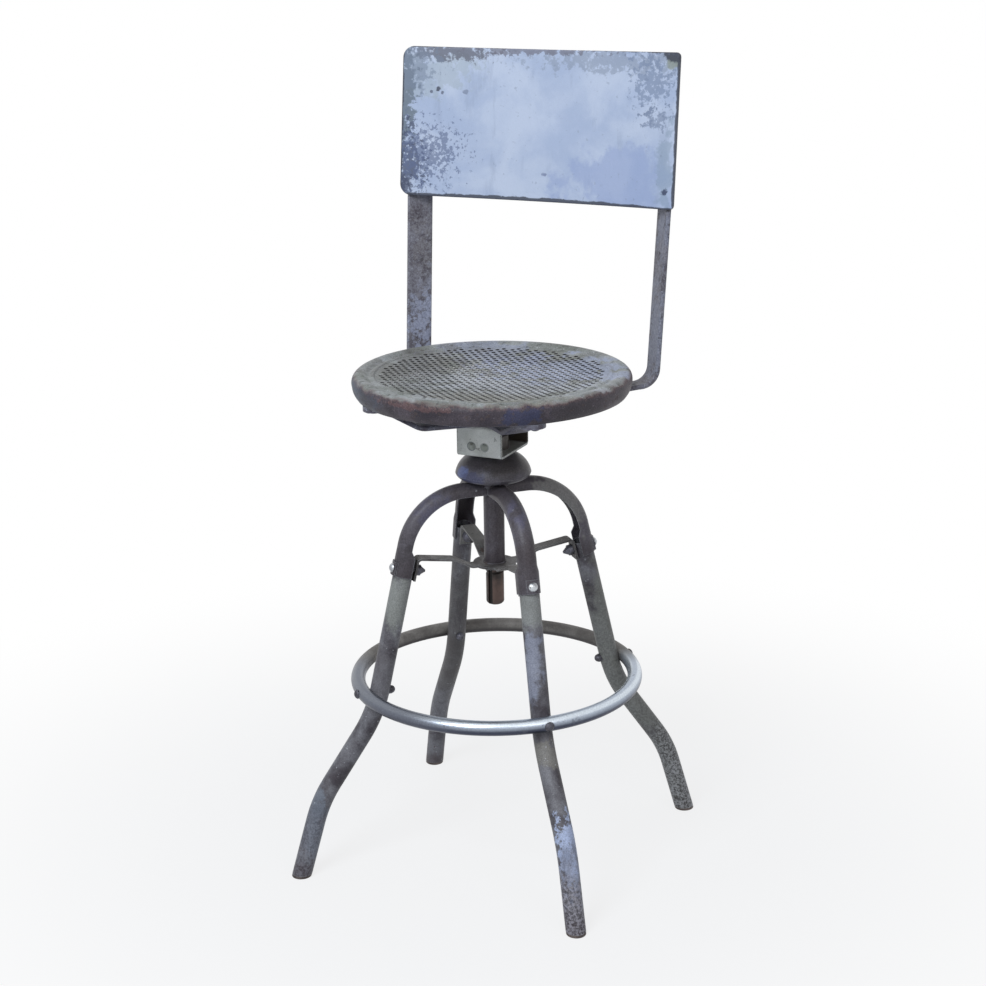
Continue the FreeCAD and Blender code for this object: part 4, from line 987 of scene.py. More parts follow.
def lathe(name, profile, segments):
    """Turn a closed profile of radius and height in millimetres about the Z axis."""
    points = []
    rings = []
    for radius, height in profile:
        count = 1 if radius < 1e-6 else segments
        rings.append((len(points), count))
        for step in range(count):
            turn = 2 * pi * step / segments
            points.append((radius * cos(turn) * MM, radius * sin(turn) * MM, height * MM))
    faces = []
    for (low, low_count), (high, high_count) in zip(rings, rings[1:] + rings[:1]):
        if low_count == 1 and high_count == 1:
            continue
        for step in range(segments):
            after = (step + 1) % segments
            if high_count == 1:
                faces.append((low + step, low + after, high))
            elif low_count == 1:
                faces.append((low, high + after, high + step))
            else:
                faces.append((low + step, low + after, high + after, high + step))
    return make_piece(name, points, faces)


# Seat pan


def pan_outline(inset, drop, bottom):
    """Return the pan's outline from the skirt's foot to the middle of the dish."""
    radius = PAN_RADIUS - inset
    top = PAN_TOP - drop
    rim_inner = PAN_RADIUS - RIM_WIDTH
    foot = (radius - PAN_DRAFT, bottom)
    hip = (radius, PAN_TOP - 14.0)
    crest = (PAN_RADIUS - RIM_WIDTH / 2, top)
    lip = (rim_inner - 1.0, top - RIM_FALL)
    bead = (rim_inner - 6.0, top - RIM_FALL + 1.0)
    edge = (rim_inner - 10.5, top - RIM_FALL - 0.4)
    middle = (0.0, edge[1] - DISH_FALL)
    outline = [foot]
    outline += arc_points(foot, (radius - 0.9, (bottom + hip[1]) / 2 + 1), hip, 6)
    outline += arc_points(hip, (radius - 2.9, top - 2.9), crest, 12)
    outline += arc_points(crest, (rim_inner + 3.4, top - 1.1), lip, 6)
    outline += arc_points(lip, ((lip[0] + bead[0]) / 2 + 0.6, lip[1] - 0.25), bead, 4)
    outline += arc_points(bead, (bead[0] - 2.8, bead[1] - 0.1), edge, 5)
    for step in range(1, DISH_POINTS + 1):
        distance = edge[0] * (1 - step / DISH_POINTS)
        outline.append((distance, dish_height(distance, edge, middle)))
    return outline


def dish_height(distance, edge, middle):
    """Return the height of the round dish at a distance from the axis."""
    ball = (edge[0] ** 2 + DISH_FALL ** 2) / (2 * DISH_FALL)
    return middle[1] + ball - sqrt(ball ** 2 - distance ** 2)


def make_perforation_tree():
    """Tree: punch a diagonal grid of holes through the dish."""
    tree, start, end = new_group(
        "punched_field", "GeometryNodeTree",
        [("Geometry", "Geometry", None), ("Punch", "Object", None), ("Pitch", "Float", 0.0089),
         ("Field Radius", "Float", 0.143), ("Ball Radius", "Float", 1.6),
         ("Dish Bottom", "Float", 0.645), ("Material", "Material", None)],
        [("Geometry", "Geometry", None)])
    pitch = start.outputs["Pitch"]
    side = calculate(tree, "CEIL", calculate(tree, "DIVIDE", start.outputs["Field Radius"], pitch))
    span = calculate(tree, "MULTIPLY", calculate(tree, "MULTIPLY", side, 2.0), pitch)
    count = calculate(tree, "ADD", calculate(tree, "MULTIPLY", side, 2.0), 1.0)
    grid = add_node(tree, "GeometryNodeMeshGrid",
                    {"Size X": span, "Size Y": span, "Vertices X": count, "Vertices Y": count})
    slanted = add_node(tree, "GeometryNodeTransform",
                       {"Geometry": grid.outputs["Mesh"], "Rotation": (0.0, 0.0, pi / 4)})
    place = add_node(tree, "GeometryNodeInputPosition").outputs[0]
    reach = add_vectors(tree, "LENGTH", place).outputs["Value"]
    outside = add_node(tree, "FunctionNodeCompare",
                       {"A": reach, "B": start.outputs["Field Radius"]}, operation="GREATER_THAN")
    field = add_node(tree, "GeometryNodeDeleteGeometry",
                     {"Geometry": slanted.outputs[0], "Selection": outside.outputs[0]})
    ball = start.outputs["Ball Radius"]
    rest = calculate(tree, "SUBTRACT", calculate(tree, "MULTIPLY", ball, ball),
                     calculate(tree, "MULTIPLY", reach, reach))
    rise = calculate(tree, "SUBTRACT", ball, calculate(tree, "SQRT", rest))
    height = calculate(tree, "ADD", start.outputs["Dish Bottom"], rise)
    lift = add_node(tree, "ShaderNodeCombineXYZ", {"Z": height}).outputs[0]
    raised = add_node(tree, "GeometryNodeSetPosition",
                      {"Geometry": field.outputs[0], "Offset": lift})
    punch = add_node(tree, "GeometryNodeObjectInfo", {"Object": start.outputs["Punch"]})
    punches = add_node(tree, "GeometryNodeInstanceOnPoints",
                       {"Points": raised.outputs[0], "Instance": punch.outputs["Geometry"]})
    cutters = add_node(tree, "GeometryNodeRealizeInstances", {"Geometry": punches.outputs[0]})
    cut = add_node(tree, "GeometryNodeMeshBoolean",
                   {0: start.outputs["Geometry"], 1: cutters.outputs[0]},
                   operation="DIFFERENCE", solver="MANIFOLD")
    return finish_tree(tree, cut.outputs[0], start, end)


def finish_tree(tree, geometry, start, end):
    """End a tree in plain geometry with its material."""
    plain = add_node(tree, "GeometryNodeRealizeInstances", {"Geometry": geometry})
    painted = add_node(tree, "GeometryNodeSetMaterial",
                       {"Geometry": plain.outputs[0], "Material": start.outputs["Material"]})
    tree.links.new(painted.outputs[0], end.inputs["Geometry"])
    return tree


class STOOL_OT_seat_pan(bpy.types.Operator):
    """Build the pressed and perforated seat pan"""
    bl_idname = "stool.seat_pan"
    bl_label = "Seat pan"

    def execute(self, context):
        pan = context.scene.stool_pan
        sheet = pan.sheet / MM
        outer = pan_outline(0.0, 0.0, PAN_BOTTOM + 1.5)
        inner = pan_outline(sheet, sheet, PAN_BOTTOM + sheet)
        foot = PAN_RADIUS - PAN_DRAFT
        hem = [(FLANGE_INNER, PAN_BOTTOM), (foot - 2.0, PAN_BOTTOM), (foot - 0.7, PAN_BOTTOM + 0.4)]
        profile = hem + outer + inner[::-1] + [(FLANGE_INNER, PAN_BOTTOM + sheet)]
        piece = lathe("seat_pan_punched", profile, pan.around)

        hole = pan.hole_diameter / MM / 2
        wide = hole + PUNCH_FLARE
        punch_profile = [(0.0, -PUNCH_DEPTH), (hole, -PUNCH_DEPTH), (hole, PUNCH_FLARE_START),
                         (wide, PUNCH_FLARE_END), (wide, PUNCH_RISE), (0.0, PUNCH_RISE)]
        punch = lathe("punch", punch_profile, PUNCH_SIDES)
        edge = outer[-1 - DISH_POINTS]
        values = {
            "Punch": punch,
            "Pitch": pan.hole_pitch,
            "Field Radius": pan.field_radius,
            "Ball Radius": (edge[0] ** 2 + DISH_FALL ** 2) / (2 * DISH_FALL) * MM,
            "Dish Bottom": outer[-1][1] * MM,
            "Material": pan_finish(pan, context.scene.stool_paint),
        }
        grow(piece, make_perforation_tree(), values)
        bpy.data.objects.remove(punch)
        if len(piece.data.polygons) < LEAST_PUNCHED_FACES:
            raise RuntimeError("the seat pan was not perforated")
        soften(piece, 32.0)
        settle(piece, "seat", "seat_paint", "seat_pan")
        return {"FINISHED"}


# Back panel


def corner_share(value, limit, corner):
    """Return how far a coordinate is into the corner square, from 0 to 1, and its sign."""
    return max(0.0, (abs(value) - (limit - corner)) / corner), (1 if value >= 0 else -1)


def rounded_point(x, z, half_width, half_height, corner):
    """Move a point of a rectangle onto the same rectangle with round corners."""
    a, x_sign = corner_share(x, half_width, corner)
    b, z_sign = corner_share(z, half_height, corner)
    if a == 0.0 or b == 0.0:
        return x, z
    round_a = a * sqrt(1 - b * b / 2)
    round_b = b * sqrt(1 - a * a / 2)
    return (x_sign * (half_width - corner + corner * round_a),
            z_sign * (half_height - corner + corner * round_b))


def panel_sheet_place(x, z, depth):
    """Return the place of a panel point: across, up from the bottom, and behind the front."""
    curve = (PANEL_HALF_WIDTH ** 2 + PANEL_SAGITTA ** 2) / (2 * PANEL_SAGITTA)
    y = PANEL_SAGITTA - curve + sqrt((curve + depth) ** 2 - x * x)
    lean = radians(-PANEL_LEAN)
    return (x * MM,
            (PANEL_EDGE_Y + y * cos(lean) - z * sin(lean)) * MM,
            (PANEL_BOTTOM + y * sin(lean) + z * cos(lean)) * MM)


def dent(x, z, depth):
    """Return how far the sheet is out of true at a point, in millimetres."""
    waves = (sin(x * 0.031 + 1.3) * sin(z * 0.047 + 0.4) + 0.6 * sin(x * 0.071 - z * 0.039 + 2.1)
             + 0.4 * sin(x * 0.013 + z * 0.083 + 0.9))
    return waves * depth * 0.5


def side_corner(x):
    """Return the radius of the panel's corners on a point's side."""
    return PANEL_LEFT_CORNER if x < 0 else PANEL_RIGHT_CORNER


def grid_lines(limit, low_corner, high_corner, middle_steps):
    """Return coordinates from one side to the other, about 1 mm apart in the corners."""
    low_steps, high_steps = round(low_corner), round(high_corner)
    low = [low_corner * step / low_steps - limit for step in range(low_steps)]
    high = [limit - high_corner * step / high_steps for step in range(high_steps)]
    first, last = low_corner - limit, limit - high_corner
    inner = [first + (last - first) * step / middle_steps for step in range(middle_steps + 1)]
    return low + inner + high[::-1]


def grid_border(width, height):
    """Return the indices of a grid's border points, once round."""
    border = list(range(width))
    border += [row * width + width - 1 for row in range(1, height)]
    border += [(height - 1) * width + column for column in range(width - 2, -1, -1)]
    border += [row * width for row in range(height - 2, 0, -1)]
    return border


class STOOL_OT_back_panel(bpy.types.Operator):
    """Build the curved back panel with its turned edge"""
    bl_idname = "stool.back_panel"
    bl_label = "Back panel"

    def execute(self, context):
        panel = context.scene.stool_panel
        edge = panel.edge_radius / MM
        sheet = panel.sheet / MM
        half_height = PANEL_HEIGHT / 2
        columns = grid_lines(PANEL_HALF_WIDTH - edge, PANEL_LEFT_CORNER - edge,
                             PANEL_RIGHT_CORNER - edge, PANEL_COLUMNS)
        widest = max(PANEL_LEFT_CORNER, PANEL_RIGHT_CORNER) - edge
        rows = grid_lines(half_height - edge, widest, widest, PANEL_ROWS)
        loops = [(edge * sin(turn), edge * (1 - cos(turn)))
                 for turn in (pi / 10, pi / 5, 3 * pi / 10, 2 * pi / 5, pi / 2)]
        loops.append((edge, PANEL_DEPTH))

        flat = [rounded_point(x, z, PANEL_HALF_WIDTH - edge, half_height - edge,
                              side_corner(x) - edge) for z in rows for x in columns]
        width = len(columns)
        border = grid_border(width, len(rows))
        outward = [border_normal(flat[index], half_height) for index in border]

        points = []
        for x, z in flat:
            points.append(panel_sheet_place(x, z + half_height, self.relief(x, z, panel.dent)))
        faces = [(row * width + column, row * width + column + 1,
                  (row + 1) * width + column + 1, (row + 1) * width + column)
                 for row in range(len(rows) - 1) for column in range(width - 1)]
        before = border
        for out, depth in loops:
            first = len(points)
            for index, (nx, nz) in zip(border, outward):
                x, z = flat[index]
                points.append(panel_sheet_place(x + nx * out, z + nz * out + half_height, depth))
            after = list(range(first, first + len(border)))
            faces += [(before[k], after[k], after[k - len(border) + 1], before[k - len(border) + 1])
                      for k in range(len(border))]
            before = after
        piece = make_piece("back_panel_sheet", points, faces)
        wall = piece.modifiers.new("wall", "SOLIDIFY")
        wall.thickness = sheet * MM
        wall.offset = -1.0
        wall.use_even_offset = True
        depsgraph = bpy.context.evaluated_depsgraph_get()
        made = bpy.data.meshes.new_from_object(piece.evaluated_get(depsgraph))
        piece.modifiers.remove(wall)
        piece.data = made
        piece.data.materials.append(panel_finish(panel))
        soften(piece, 40.0)
        settle(piece, "seat", "panel_paint", "back_panel")
        return {"FINISHED"}

    @staticmethod
    def relief(x, z, depth):
        """Return the sheet's own relief, fading out towards its edge."""
        reach = min(PANEL_HALF_WIDTH - abs(x), PANEL_HEIGHT / 2 - abs(z)) / FLAT_RIM_WIDTH
        return dent(x, z, depth / MM) * min(1.0, max(0.0, reach - 0.1))


def border_normal(point, half_height):
    """Return the outward direction of the panel's outline at a border point."""
    x, z = point
    straight_x = PANEL_HALF_WIDTH - side_corner(x)
    straight_z = half_height - side_corner(x)
    over_x = max(0.0, abs(x) - straight_x) * (1 if x > 0 else -1)
    over_z = max(0.0, abs(z) - straight_z) * (1 if z > 0 else -1)
    if abs(x) <= straight_x:
        over_x = 0.0
    if abs(z) <= straight_z:
        over_z = 0.0
    length = hypot(over_x, over_z)
    return over_x / length, over_z / length


# Spindle


# Thread's groove: shares of the pitch where it ends and that each flank takes, and the
# length in metres over which it runs in and out
GROOVE_SHARE = 0.62
FLANK_SHARE = 0.2
THREAD_FADE = 0.004


def make_thread_tree():
    """Tree: wind a groove round the spindle and sink the keyway."""
    tree, start, end = new_group(
        "wound_thread", "GeometryNodeTree",
        [("Geometry", "Geometry", None), ("Radius", "Float", 0.01175), ("Pitch", "Float", 0.00635),
         ("Depth", "Float", 0.0015), ("Bottom", "Float", 0.384), ("Top", "Float", 0.546),
         ("Key Floor", "Float", 0.00875), ("Key Half", "Float", 0.0024),
         ("Key Azimuth", "Float", 4.05), ("Material", "Material", None)],
        [("Geometry", "Geometry", None)])
    place = add_node(tree, "GeometryNodeInputPosition").outputs[0]
    x, y, z = add_node(tree, "ShaderNodeSeparateXYZ", {0: place}).outputs
    turn = calculate(tree, "ARCTAN2", y, x)
    reach = calculate(tree, "SQRT", calculate(tree, "ADD", calculate(tree, "MULTIPLY", x, x),
                                              calculate(tree, "MULTIPLY", y, y)))
    climbed = calculate(tree, "SUBTRACT", calculate(tree, "DIVIDE", z, start.outputs["Pitch"]),
                        calculate(tree, "DIVIDE", turn, 2 * pi))
    phase = calculate(tree, "FRACT", climbed)
    falling = calculate(tree, "DIVIDE", phase, FLANK_SHARE)
    rising = calculate(tree, "DIVIDE", calculate(tree, "SUBTRACT", GROOVE_SHARE, phase),
                       FLANK_SHARE)
    groove = calculate(tree, "MAXIMUM", calculate(tree, "MINIMUM", calculate(
        tree, "MINIMUM", falling, rising), 1.0), 0.0)
    run_in = remap(tree, z, start.outputs["Bottom"],
                   calculate(tree, "ADD", start.outputs["Bottom"], THREAD_FADE))
    run_out = remap(tree, z, start.outputs["Top"],
                    calculate(tree, "SUBTRACT", start.outputs["Top"], THREAD_FADE))
    depth = calculate(tree, "MULTIPLY", calculate(tree, "MULTIPLY", run_in, run_out),
                      calculate(tree, "MULTIPLY", groove, start.outputs["Depth"]))
    threaded = calculate(tree, "SUBTRACT", reach, depth)

    swing = calculate(tree, "SUBTRACT", turn, start.outputs["Key Azimuth"])
    facing = calculate(tree, "COSINE", swing)
    aside = calculate(tree, "ABSOLUTE", calculate(tree, "MULTIPLY", start.outputs["Radius"],
                                                  calculate(tree, "SINE", swing)))
    floor = calculate(tree, "DIVIDE", start.outputs["Key Floor"],
                      calculate(tree, "MAXIMUM", facing, 0.1))
    in_key = calculate(tree, "MULTIPLY", calculate(tree, "LESS_THAN", aside, start.outputs["Key Half"]),
                       calculate(tree, "GREATER_THAN", facing, 0.0))
    in_key = calculate(tree, "MULTIPLY", in_key, calculate(tree, "LESS_THAN", z, start.outputs["Top"]))
    sunk = calculate(tree, "MINIMUM", threaded, floor)
    final = calculate(tree, "ADD", calculate(tree, "MULTIPLY", sunk, in_key), calculate(
        tree, "MULTIPLY", threaded, calculate(tree, "SUBTRACT", 1.0, in_key)))
    ratio = calculate(tree, "DIVIDE", final, calculate(tree, "MAXIMUM", reach, 1e-5))
    moved = add_node(tree, "ShaderNodeCombineXYZ", {
        0: calculate(tree, "MULTIPLY", x, ratio), 1: calculate(tree, "MULTIPLY", y, ratio), 2: z})
    shaped = add_node(tree, "GeometryNodeSetPosition",
                      {"Geometry": start.outputs["Geometry"], "Position": moved.outputs[0]})
    return finish_tree(tree, shaped.outputs[0], start, end)


def spindle_turns(key, reach):
    """Return the azimuths of the spindle's points, close together at the keyway's corners."""
    turns = [2 * pi * step / SPINDLE_SIDES for step in range(SPINDLE_SIDES)]
    turns = [turn for turn in turns if abs(abs(turn - key) - reach) > KEY_CLEARANCE]
    turns += [key - reach - KEY_CORNER, key - reach + KEY_CORNER,
              key + reach - KEY_CORNER, key + reach + KEY_CORNER]
    return sorted(turns)


def spindle_profile(pitch):
    """Return the spindle's outline from its foot to its stub, in millimetres."""
    radius = SPINDLE_RADIUS
    profile = [(radius - 2.5, SPINDLE_BOTTOM), (radius - 0.6, SPINDLE_BOTTOM + 1.9),
               (radius, SPINDLE_BOTTOM + 3.2), (radius, SPINDLE_BOTTOM + 22.0)]
    row_step = pitch / ROWS_PER_TURN
    height = THREAD_BOTTOM - row_step
    while height < THREAD_TOP:
        profile.append((radius, height))
        height += row_step
    profile += [(radius, THREAD_TOP), (radius, THREAD_TOP + 0.05),
                (radius, SPINDLE_SHOULDER - 0.6), (radius - 0.6, SPINDLE_SHOULDER),
                (JOURNAL_RADIUS, SPINDLE_SHOULDER), (JOURNAL_RADIUS, JOURNAL_TOP),
                (STUB_RADIUS, JOURNAL_TOP), (STUB_RADIUS, STUB_TOP - 1.0),
                (STUB_RADIUS - 1.0, STUB_TOP)]
    return profile


class STOOL_OT_spindle(bpy.types.Operator):
    """Build the keyed spindle with its wound thread"""
    bl_idname = "stool.spindle"
    bl_label = "Spindle"

    def execute(self, context):
        screw = context.scene.stool_screw
        radius = SPINDLE_RADIUS
        half = screw.key_width / MM / 2
        reach = asin(half / radius)
        key = radians(KEY_AZIMUTH)
        turns = spindle_turns(key, reach)
        profile = spindle_profile(screw.pitch / MM)
        points = []
        for ring_radius, ring_height in profile:
            for turn in turns:
                points.append((ring_radius * cos(turn) * MM, ring_radius * sin(turn) * MM,
                               ring_height * MM))
        around = len(turns)
        faces = []
        for ring in range(len(profile) - 1):
            low = ring * around
            for step in range(around):
                after = (step + 1) % around
                faces.append((low + step, low + after, low + around + after, low + around + step))
        last = (len(profile) - 1) * around
        bottom_pole = len(points)
        points += [(0.0, 0.0, SPINDLE_BOTTOM * MM), (0.0, 0.0, STUB_TOP * MM)]
        for step in range(around):
            after = (step + 1) % around
            faces.append((step, bottom_pole, after))
            faces.append((last + step, last + after, bottom_pole + 1))
        piece = make_piece("spindle_screw", points, faces)
        values = {
            "Radius": radius * MM,
            "Pitch": screw.pitch,
            "Depth": screw.depth,
            "Bottom": THREAD_BOTTOM * MM,
            "Top": THREAD_TOP * MM,
            "Key Floor": radius * MM - screw.key_depth,
            "Key Half": screw.key_width / 2,
            "Key Azimuth": key,
            "Material": screw_finish(screw, context.scene.stool_paint),
        }
        grow(piece, make_thread_tree(), values)
        soften(piece, 38.0)
        settle(piece, "spindle", "spindle_steel", "spindle")
        return {"FINISHED"}


# Weld beads


def make_bead_tree():
    """Tree: lay a rippled weld bead along each path."""
    tree, start, end = new_group(
        "weld_bead", "GeometryNodeTree",
        [("Geometry", "Geometry", None), ("Bead Radius", "Float", 0.0015),
         ("Ripple Length", "Float", 0.0022), ("Material", "Material", None)],
        [("Geometry", "Geometry", None)])
    path = add_node(tree, "GeometryNodeMeshToCurve", {"Mesh": start.outputs["Geometry"]})
    step = calculate(tree, "DIVIDE", start.outputs["Ripple Length"], 4.0)
    even = add_node(tree, "GeometryNodeResampleCurve", {"Curve": path.outputs[0]})
    even.mode = "LENGTH"
    tree.links.new(step, even.inputs["Length"])
    index = add_node(tree, "GeometryNodeInputIndex").outputs[0]
    wave = calculate(tree, "ABSOLUTE", calculate(tree, "SINE", calculate(
        tree, "MULTIPLY", index, pi / 4)))
    uneven = add_node(tree, "FunctionNodeRandomValue", {2: 0.9, 3: 1.1, "Seed": 4},
                      data_type="FLOAT").outputs[1]
    size = calculate(tree, "MULTIPLY", uneven, calculate(
        tree, "MULTIPLY_ADD", wave, 0.16, 0.84))
    profile = add_node(tree, "GeometryNodeCurvePrimitiveCircle",
                       {"Resolution": 8, "Radius": start.outputs["Bead Radius"]})
    bead = add_node(tree, "GeometryNodeCurveToMesh",
                    {"Curve": even.outputs[0], "Profile Curve": profile.outputs[0],
                     "Fill Caps": True, "Scale": size})
    return finish_tree(tree, bead.outputs[0], start, end)


def circle_path(radius, height, count=48):
    """Return the points and edges of a level circle, in millimetres."""
    points = [(radius * cos(2 * pi * k / count), radius * sin(2 * pi * k / count), height)
              for k in range(count)]
    return points, [(k, (k + 1) % count) for k in range(count)]


def arm_seam(azimuth):
    """Return the path where one arm meets the hub's flange, in millimetres."""
    wide = ARM_RADIUS + ARM_WELD_LIFT
    first = asin((HUB_FLANGE_BOTTOM - ARM_HEIGHT) / wide)
    turns = [first + (pi - 2 * first) * k / 16 for k in range(17)]
    outline = [(wide * cos(turn), ARM_HEIGHT + wide * sin(turn) * 0.97) for turn in turns]
    points = []
    for aside, height in outline:
        away = sqrt((HUB_RADIUS + WELD_LIFT) ** 2 - aside ** 2)
        turn = radians(azimuth)
        points.append((away * cos(turn) - aside * sin(turn),
                       away * sin(turn) + aside * cos(turn), height))
    return points, [(k, k + 1) for k in range(len(points) - 1)]


class STOOL_OT_welds(bpy.types.Operator):
    """Lay the weld beads at the crown, the sleeve and the brace"""
    bl_idname = "stool.welds"
    bl_label = "Weld beads"

    def execute(self, context):
        welds = context.scene.stool_weld
        paths = [circle_path(SLEEVE_RADIUS + WELD_LIFT, BRACE_TOP + WELD_LIFT),
                 circle_path(SLEEVE_RADIUS + WELD_LIFT, HUB_BOTTOM - WELD_LIFT)]
        paths += [arm_seam(azimuth) for azimuth in LEG_AZIMUTHS]
        points = []
        edges = []
        for path_points, path_edges in paths:
            first = len(points)
            points += [(x * MM, y * MM, z * MM) for x, y, z in path_points]
            edges += [(first + a, first + b) for a, b in path_edges]
        piece = make_piece("crown_welds", points, [], edges)
        values = {"Bead Radius": welds.bead, "Ripple Length": welds.ripple,
                  "Material": weld_finish()}
        grow(piece, make_bead_tree(), values)
        soften(piece, 60.0)
        settle(piece, "base", "worn_dark_paint")
        return {"FINISHED"}


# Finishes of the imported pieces


def coat(material, names):
    """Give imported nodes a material."""
    for name in names:
        node = frame["nodes"][name]
        node.data.materials.clear()
        node.data.materials.append(material)


def corner_names(stem):
    """Return the names of the four like pieces of the base."""
    return [f"{stem}_{place}" for place in ("front_left", "front_right", "rear_left", "rear_right")]


class STOOL_OT_base_finish(bpy.types.Operator):
    """Finish the legs, arms, crown, brace and foot ring"""
    bl_idname = "stool.base_finish"
    bl_label = "Base finish"

    def execute(self, context):
        paint = context.scene.stool_paint
        coat(leg_finish(paint), corner_names("leg"))
        coat(arm_finish(paint), corner_names("arm") + ["crown_hub", "guide_sleeve",
                                                       "arm_bolt_saddles"])
        coat(collar_finish(paint), ["lifting_collar"])
        coat(brace_finish(paint), ["brace_spider"])
        coat(ring_finish(paint), ["foot_ring"])
        return {"FINISHED"}


class STOOL_OT_seat_finish(bpy.types.Operator):
    """Finish the box, the cross bars, the uprights and the clips"""
    bl_idname = "stool.seat_finish"
    bl_label = "Seat frame finish"

    def execute(self, context):
        paint = context.scene.stool_paint
        coat(upright_finish(paint), ["cross_bar_right", "cross_bar_left", "panel_clip_right",
                                     "panel_clip_left"])
        coat(box_finish(paint), ["box_bracket"])
        coat(bolt_finish("bearing_iron", display(84, 78, 74), display(54, 48, 45), 0.2, 0.55),
             ["bearing_housing", "bar_spacer"])
        return {"FINISHED"}


class STOOL_OT_fastener_finish(bpy.types.Operator):
    """Finish the bolts, nuts, washers, rivets and glides"""
    bl_idname = "stool.fastener_finish"
    bl_label = "Fastener finish"

    def execute(self, context):
        bright = bolt_finish("bolt_steel", display(206, 210, 214), display(150, 152, 156), 0.85, 0.32)
        coat(bright, ["arm_bolts", "cotter_pin", "castle_nut", "nut_washer", "swivel_race",
                      "guide_key"])
        dark = bolt_finish("dark_bolt_steel", display(96, 96, 106), display(58, 56, 62), 0.45, 0.45)
        coat(dark, ["ring_bolts", "ring_cap_nuts", "arm_cap_nuts", "bar_bolts", "bar_nuts",
                    "seat_bolts", "seat_nuts", "panel_bolts", "panel_nuts", "thrust_washer"])
        rivet = bolt_finish("rivet_paint", display(172, 176, 170), display(138, 142, 132), 0.1, 0.5)
        coat(rivet, ["box_rivets"])
        glide = bolt_finish("glide_steel", display(104, 94, 90), display(66, 58, 56), 0.3, 0.55)
        coat(glide, ["foot_glides"])
        return {"FINISHED"}


# Stage


def seen_directly(tree):
    """Return 1 for rays that see the background directly or through gloss and glass."""
    rays = add_node(tree, "ShaderNodeLightPath").outputs
    return calculate(tree, "MAXIMUM", rays["Is Camera Ray"], calculate(
        tree, "MAXIMUM", rays["Is Glossy Ray"], rays["Is Transmission Ray"]))


def make_world(stage):
    """Light the scene from all round, and show white behind it."""
    world = bpy.data.worlds.new("studio")
    world.use_nodes = True
    tree = world.node_tree
    tree.nodes.clear()
    fill = add_node(tree, "ShaderNodeBackground", {"Color": stage.sky, "Strength": stage.fill})
    white = add_node(tree, "ShaderNodeBackground", {"Color": (1.0, 1.0, 1.0, 1.0), "Strength": 1.0})
    mixed = add_node(tree, "ShaderNodeMixShader",
                     {0: seen_directly(tree), 1: fill.outputs[0], 2: white.outputs[0]})
    output = add_node(tree, "ShaderNodeOutputWorld")
    tree.links.new(mixed.outputs[0], output.inputs["Surface"])
    bpy.context.scene.world = world


def make_floor(stage):
    """Lay the pale floor, which keeps the stool's shadow and gets white further away."""
    material = bpy.data.materials.new("floor_white")
    material.use_nodes = True
    tree = material.node_tree
    tree.nodes.clear()
    soft = add_node(tree, "ShaderNodeBsdfDiffuse", {"Color": stage.floor})
    white = add_node(tree, "ShaderNodeEmission", {"Color": (1.0, 1.0, 1.0, 1.0), "Strength": 1.0})
    place = add_node(tree, "ShaderNodeTexCoord").outputs["Object"]
    away = add_vectors(tree, "LENGTH", place).outputs["Value"]
    share = calculate(tree, "MULTIPLY", seen_directly(tree),
                      remap(tree, away, *FLOOR_FADE, FLOOR_WHITE, 1.0))
    mixed = add_node(tree, "ShaderNodeMixShader", {0: share, 1: soft.outputs[0],
                                                   2: white.outputs[0]})
    output = add_node(tree, "ShaderNodeOutputMaterial")
    tree.links.new(mixed.outputs[0], output.inputs["Surface"])
    far = FLOOR_REACH
    corners = [(-far, -far, 0.0), (far, -far, 0.0), (far, far, 0.0), (-far, far, 0.0)]
    floor = make_piece("studio_floor", corners, [(0, 1, 2, 3)])
    floor.data.materials.append(material)


def add_lamp(name, power, size, place, colour):
    """Hang a square lamp that points at the stool's middle."""
    data = bpy.data.lights.new(name, "AREA")
    data.energy = power
    data.size = size
    data.color = colour
    lamp = bpy.data.objects.new(name, data)
    lamp.location = place
    aim = Vector(LAMP_AIM) - Vector(place)
    lamp.rotation_euler = aim.to_track_quat("-Z", "Y").to_euler()
    bpy.context.scene.collection.objects.link(lamp)


def make_camera():
    """Set the camera where the photograph was taken."""
    turn = radians(CAMERA_TURN)
    place = Vector((sin(turn) * CAMERA_DISTANCE, -cos(turn) * CAMERA_DISTANCE, CAMERA_HEIGHT))
    look = radians(CAMERA_TURN - CAMERA_YAW)
    pitch = radians(CAMERA_PITCH)
    ahead = Vector((-sin(look) * cos(pitch), cos(look) * cos(pitch), -sin(pitch)))
    level = Vector((cos(look), sin(look), 0.0))
    up = level.cross(ahead)
    roll = radians(CAMERA_ROLL)
    right = level * cos(roll) + up * sin(roll)
    top = up * cos(roll) - level * sin(roll)
    data = bpy.data.cameras.new("photo_camera")
    data.lens = CAMERA_LENS
    data.sensor_width = SENSOR_WIDTH
    camera = bpy.data.objects.new("photo_camera", data)
    axes = Matrix((right, top, -ahead)).transposed()
    camera.matrix_world = Matrix.Translation(place) @ axes.to_4x4()
    bpy.context.scene.collection.objects.link(camera)
    bpy.context.scene.camera = camera


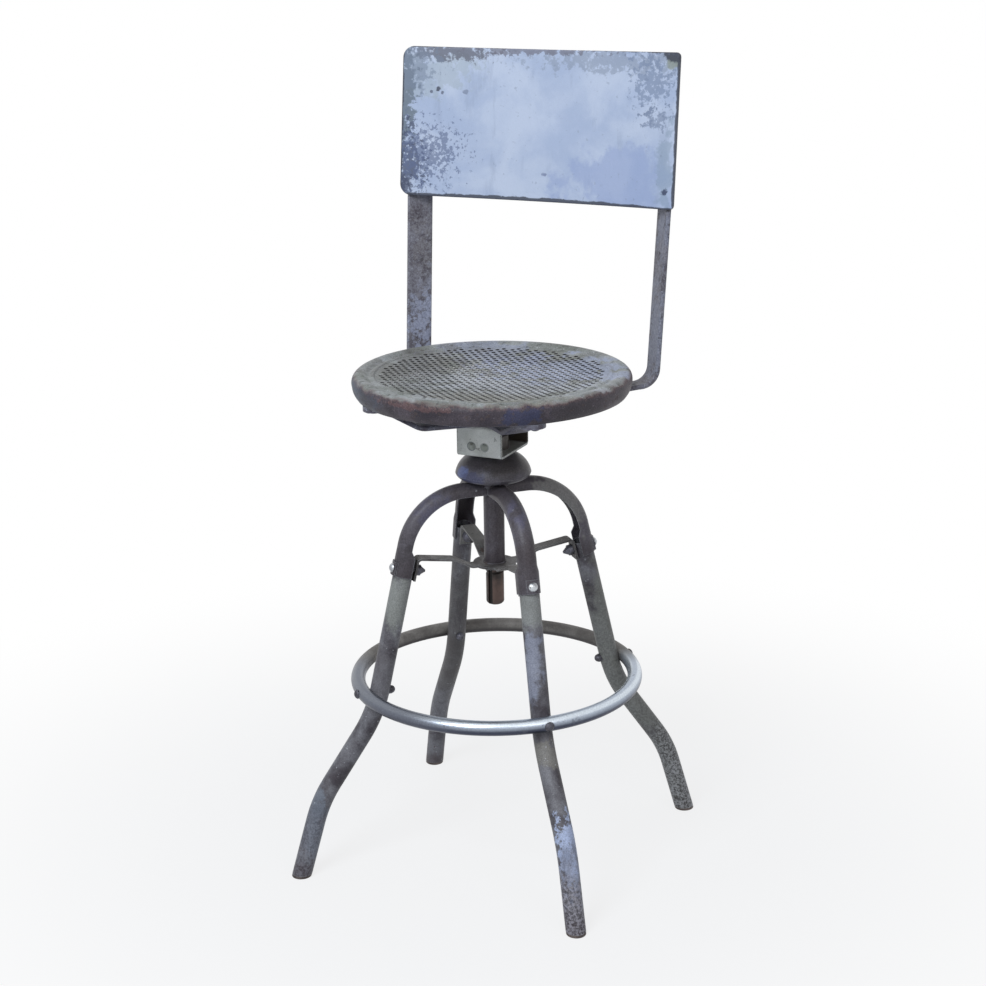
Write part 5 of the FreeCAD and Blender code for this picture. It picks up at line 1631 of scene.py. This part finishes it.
class STOOL_OT_stage(bpy.types.Operator):
    """Set the floor, the background, the lamps and the camera"""
    bl_idname = "stool.stage"
    bl_label = "Stage"

    def execute(self, context):
        stage = context.scene.stool_stage
        make_world(stage)
        make_floor(stage)
        add_lamp("key_lamp", stage.key, KEY_LAMP_SIZE, KEY_LAMP_PLACE, KEY_LAMP_COLOUR)
        add_lamp("side_lamp", stage.side, SIDE_LAMP_SIZE, SIDE_LAMP_PLACE, SIDE_LAMP_COLOUR)
        make_camera()
        context.scene.view_settings.view_transform = "Standard"
        return {"FINISHED"}


class STOOL_PT_pieces(bpy.types.Panel):
    """Pieces of the machinist stool"""
    bl_idname = "STOOL_PT_pieces"
    bl_label = "Machinist stool"
    bl_space_type = "VIEW_3D"
    bl_region_type = "UI"
    bl_category = "Stool"

    def draw(self, context):
        column = self.layout.column()
        for operator in OPERATORS:
            column.operator(operator.bl_idname)
        for attribute in SETTINGS:
            group = getattr(context.scene, attribute)
            box = column.box()
            for name in group.__annotations__:
                box.prop(group, name)


OPERATORS = (
    STOOL_OT_seat_pan,
    STOOL_OT_back_panel,
    STOOL_OT_spindle,
    STOOL_OT_welds,
    STOOL_OT_base_finish,
    STOOL_OT_seat_finish,
    STOOL_OT_fastener_finish,
    STOOL_OT_stage,
)
SETTINGS = {
    "stool_pan": StoolPanSettings,
    "stool_panel": StoolPanelSettings,
    "stool_screw": StoolScrewSettings,
    "stool_weld": StoolWeldSettings,
    "stool_paint": StoolPaintSettings,
    "stool_stage": StoolStageSettings,
}


def register():
    """Register the settings, the operators and the panel."""
    for attribute, settings in SETTINGS.items():
        bpy.utils.register_class(settings)
        setattr(bpy.types.Scene, attribute, PointerProperty(type=settings))
    for operator in OPERATORS:
        bpy.utils.register_class(operator)
    bpy.utils.register_class(STOOL_PT_pieces)


def unregister():
    """Take everything back out."""
    bpy.utils.unregister_class(STOOL_PT_pieces)
    for operator in reversed(OPERATORS):
        bpy.utils.unregister_class(operator)
    for attribute, settings in reversed(SETTINGS.items()):
        delattr(bpy.types.Scene, attribute)
        bpy.utils.unregister_class(settings)


def build_stool():
    """Dress the stool and the stage."""
    register()
    bpy.ops.stool.seat_pan()
    bpy.ops.stool.back_panel()
    bpy.ops.stool.spindle()
    bpy.ops.stool.welds()
    bpy.ops.stool.base_finish()
    bpy.ops.stool.seat_finish()
    bpy.ops.stool.fastener_finish()
    bpy.ops.stool.stage()


if __name__ == "__main__":
    build_stool()
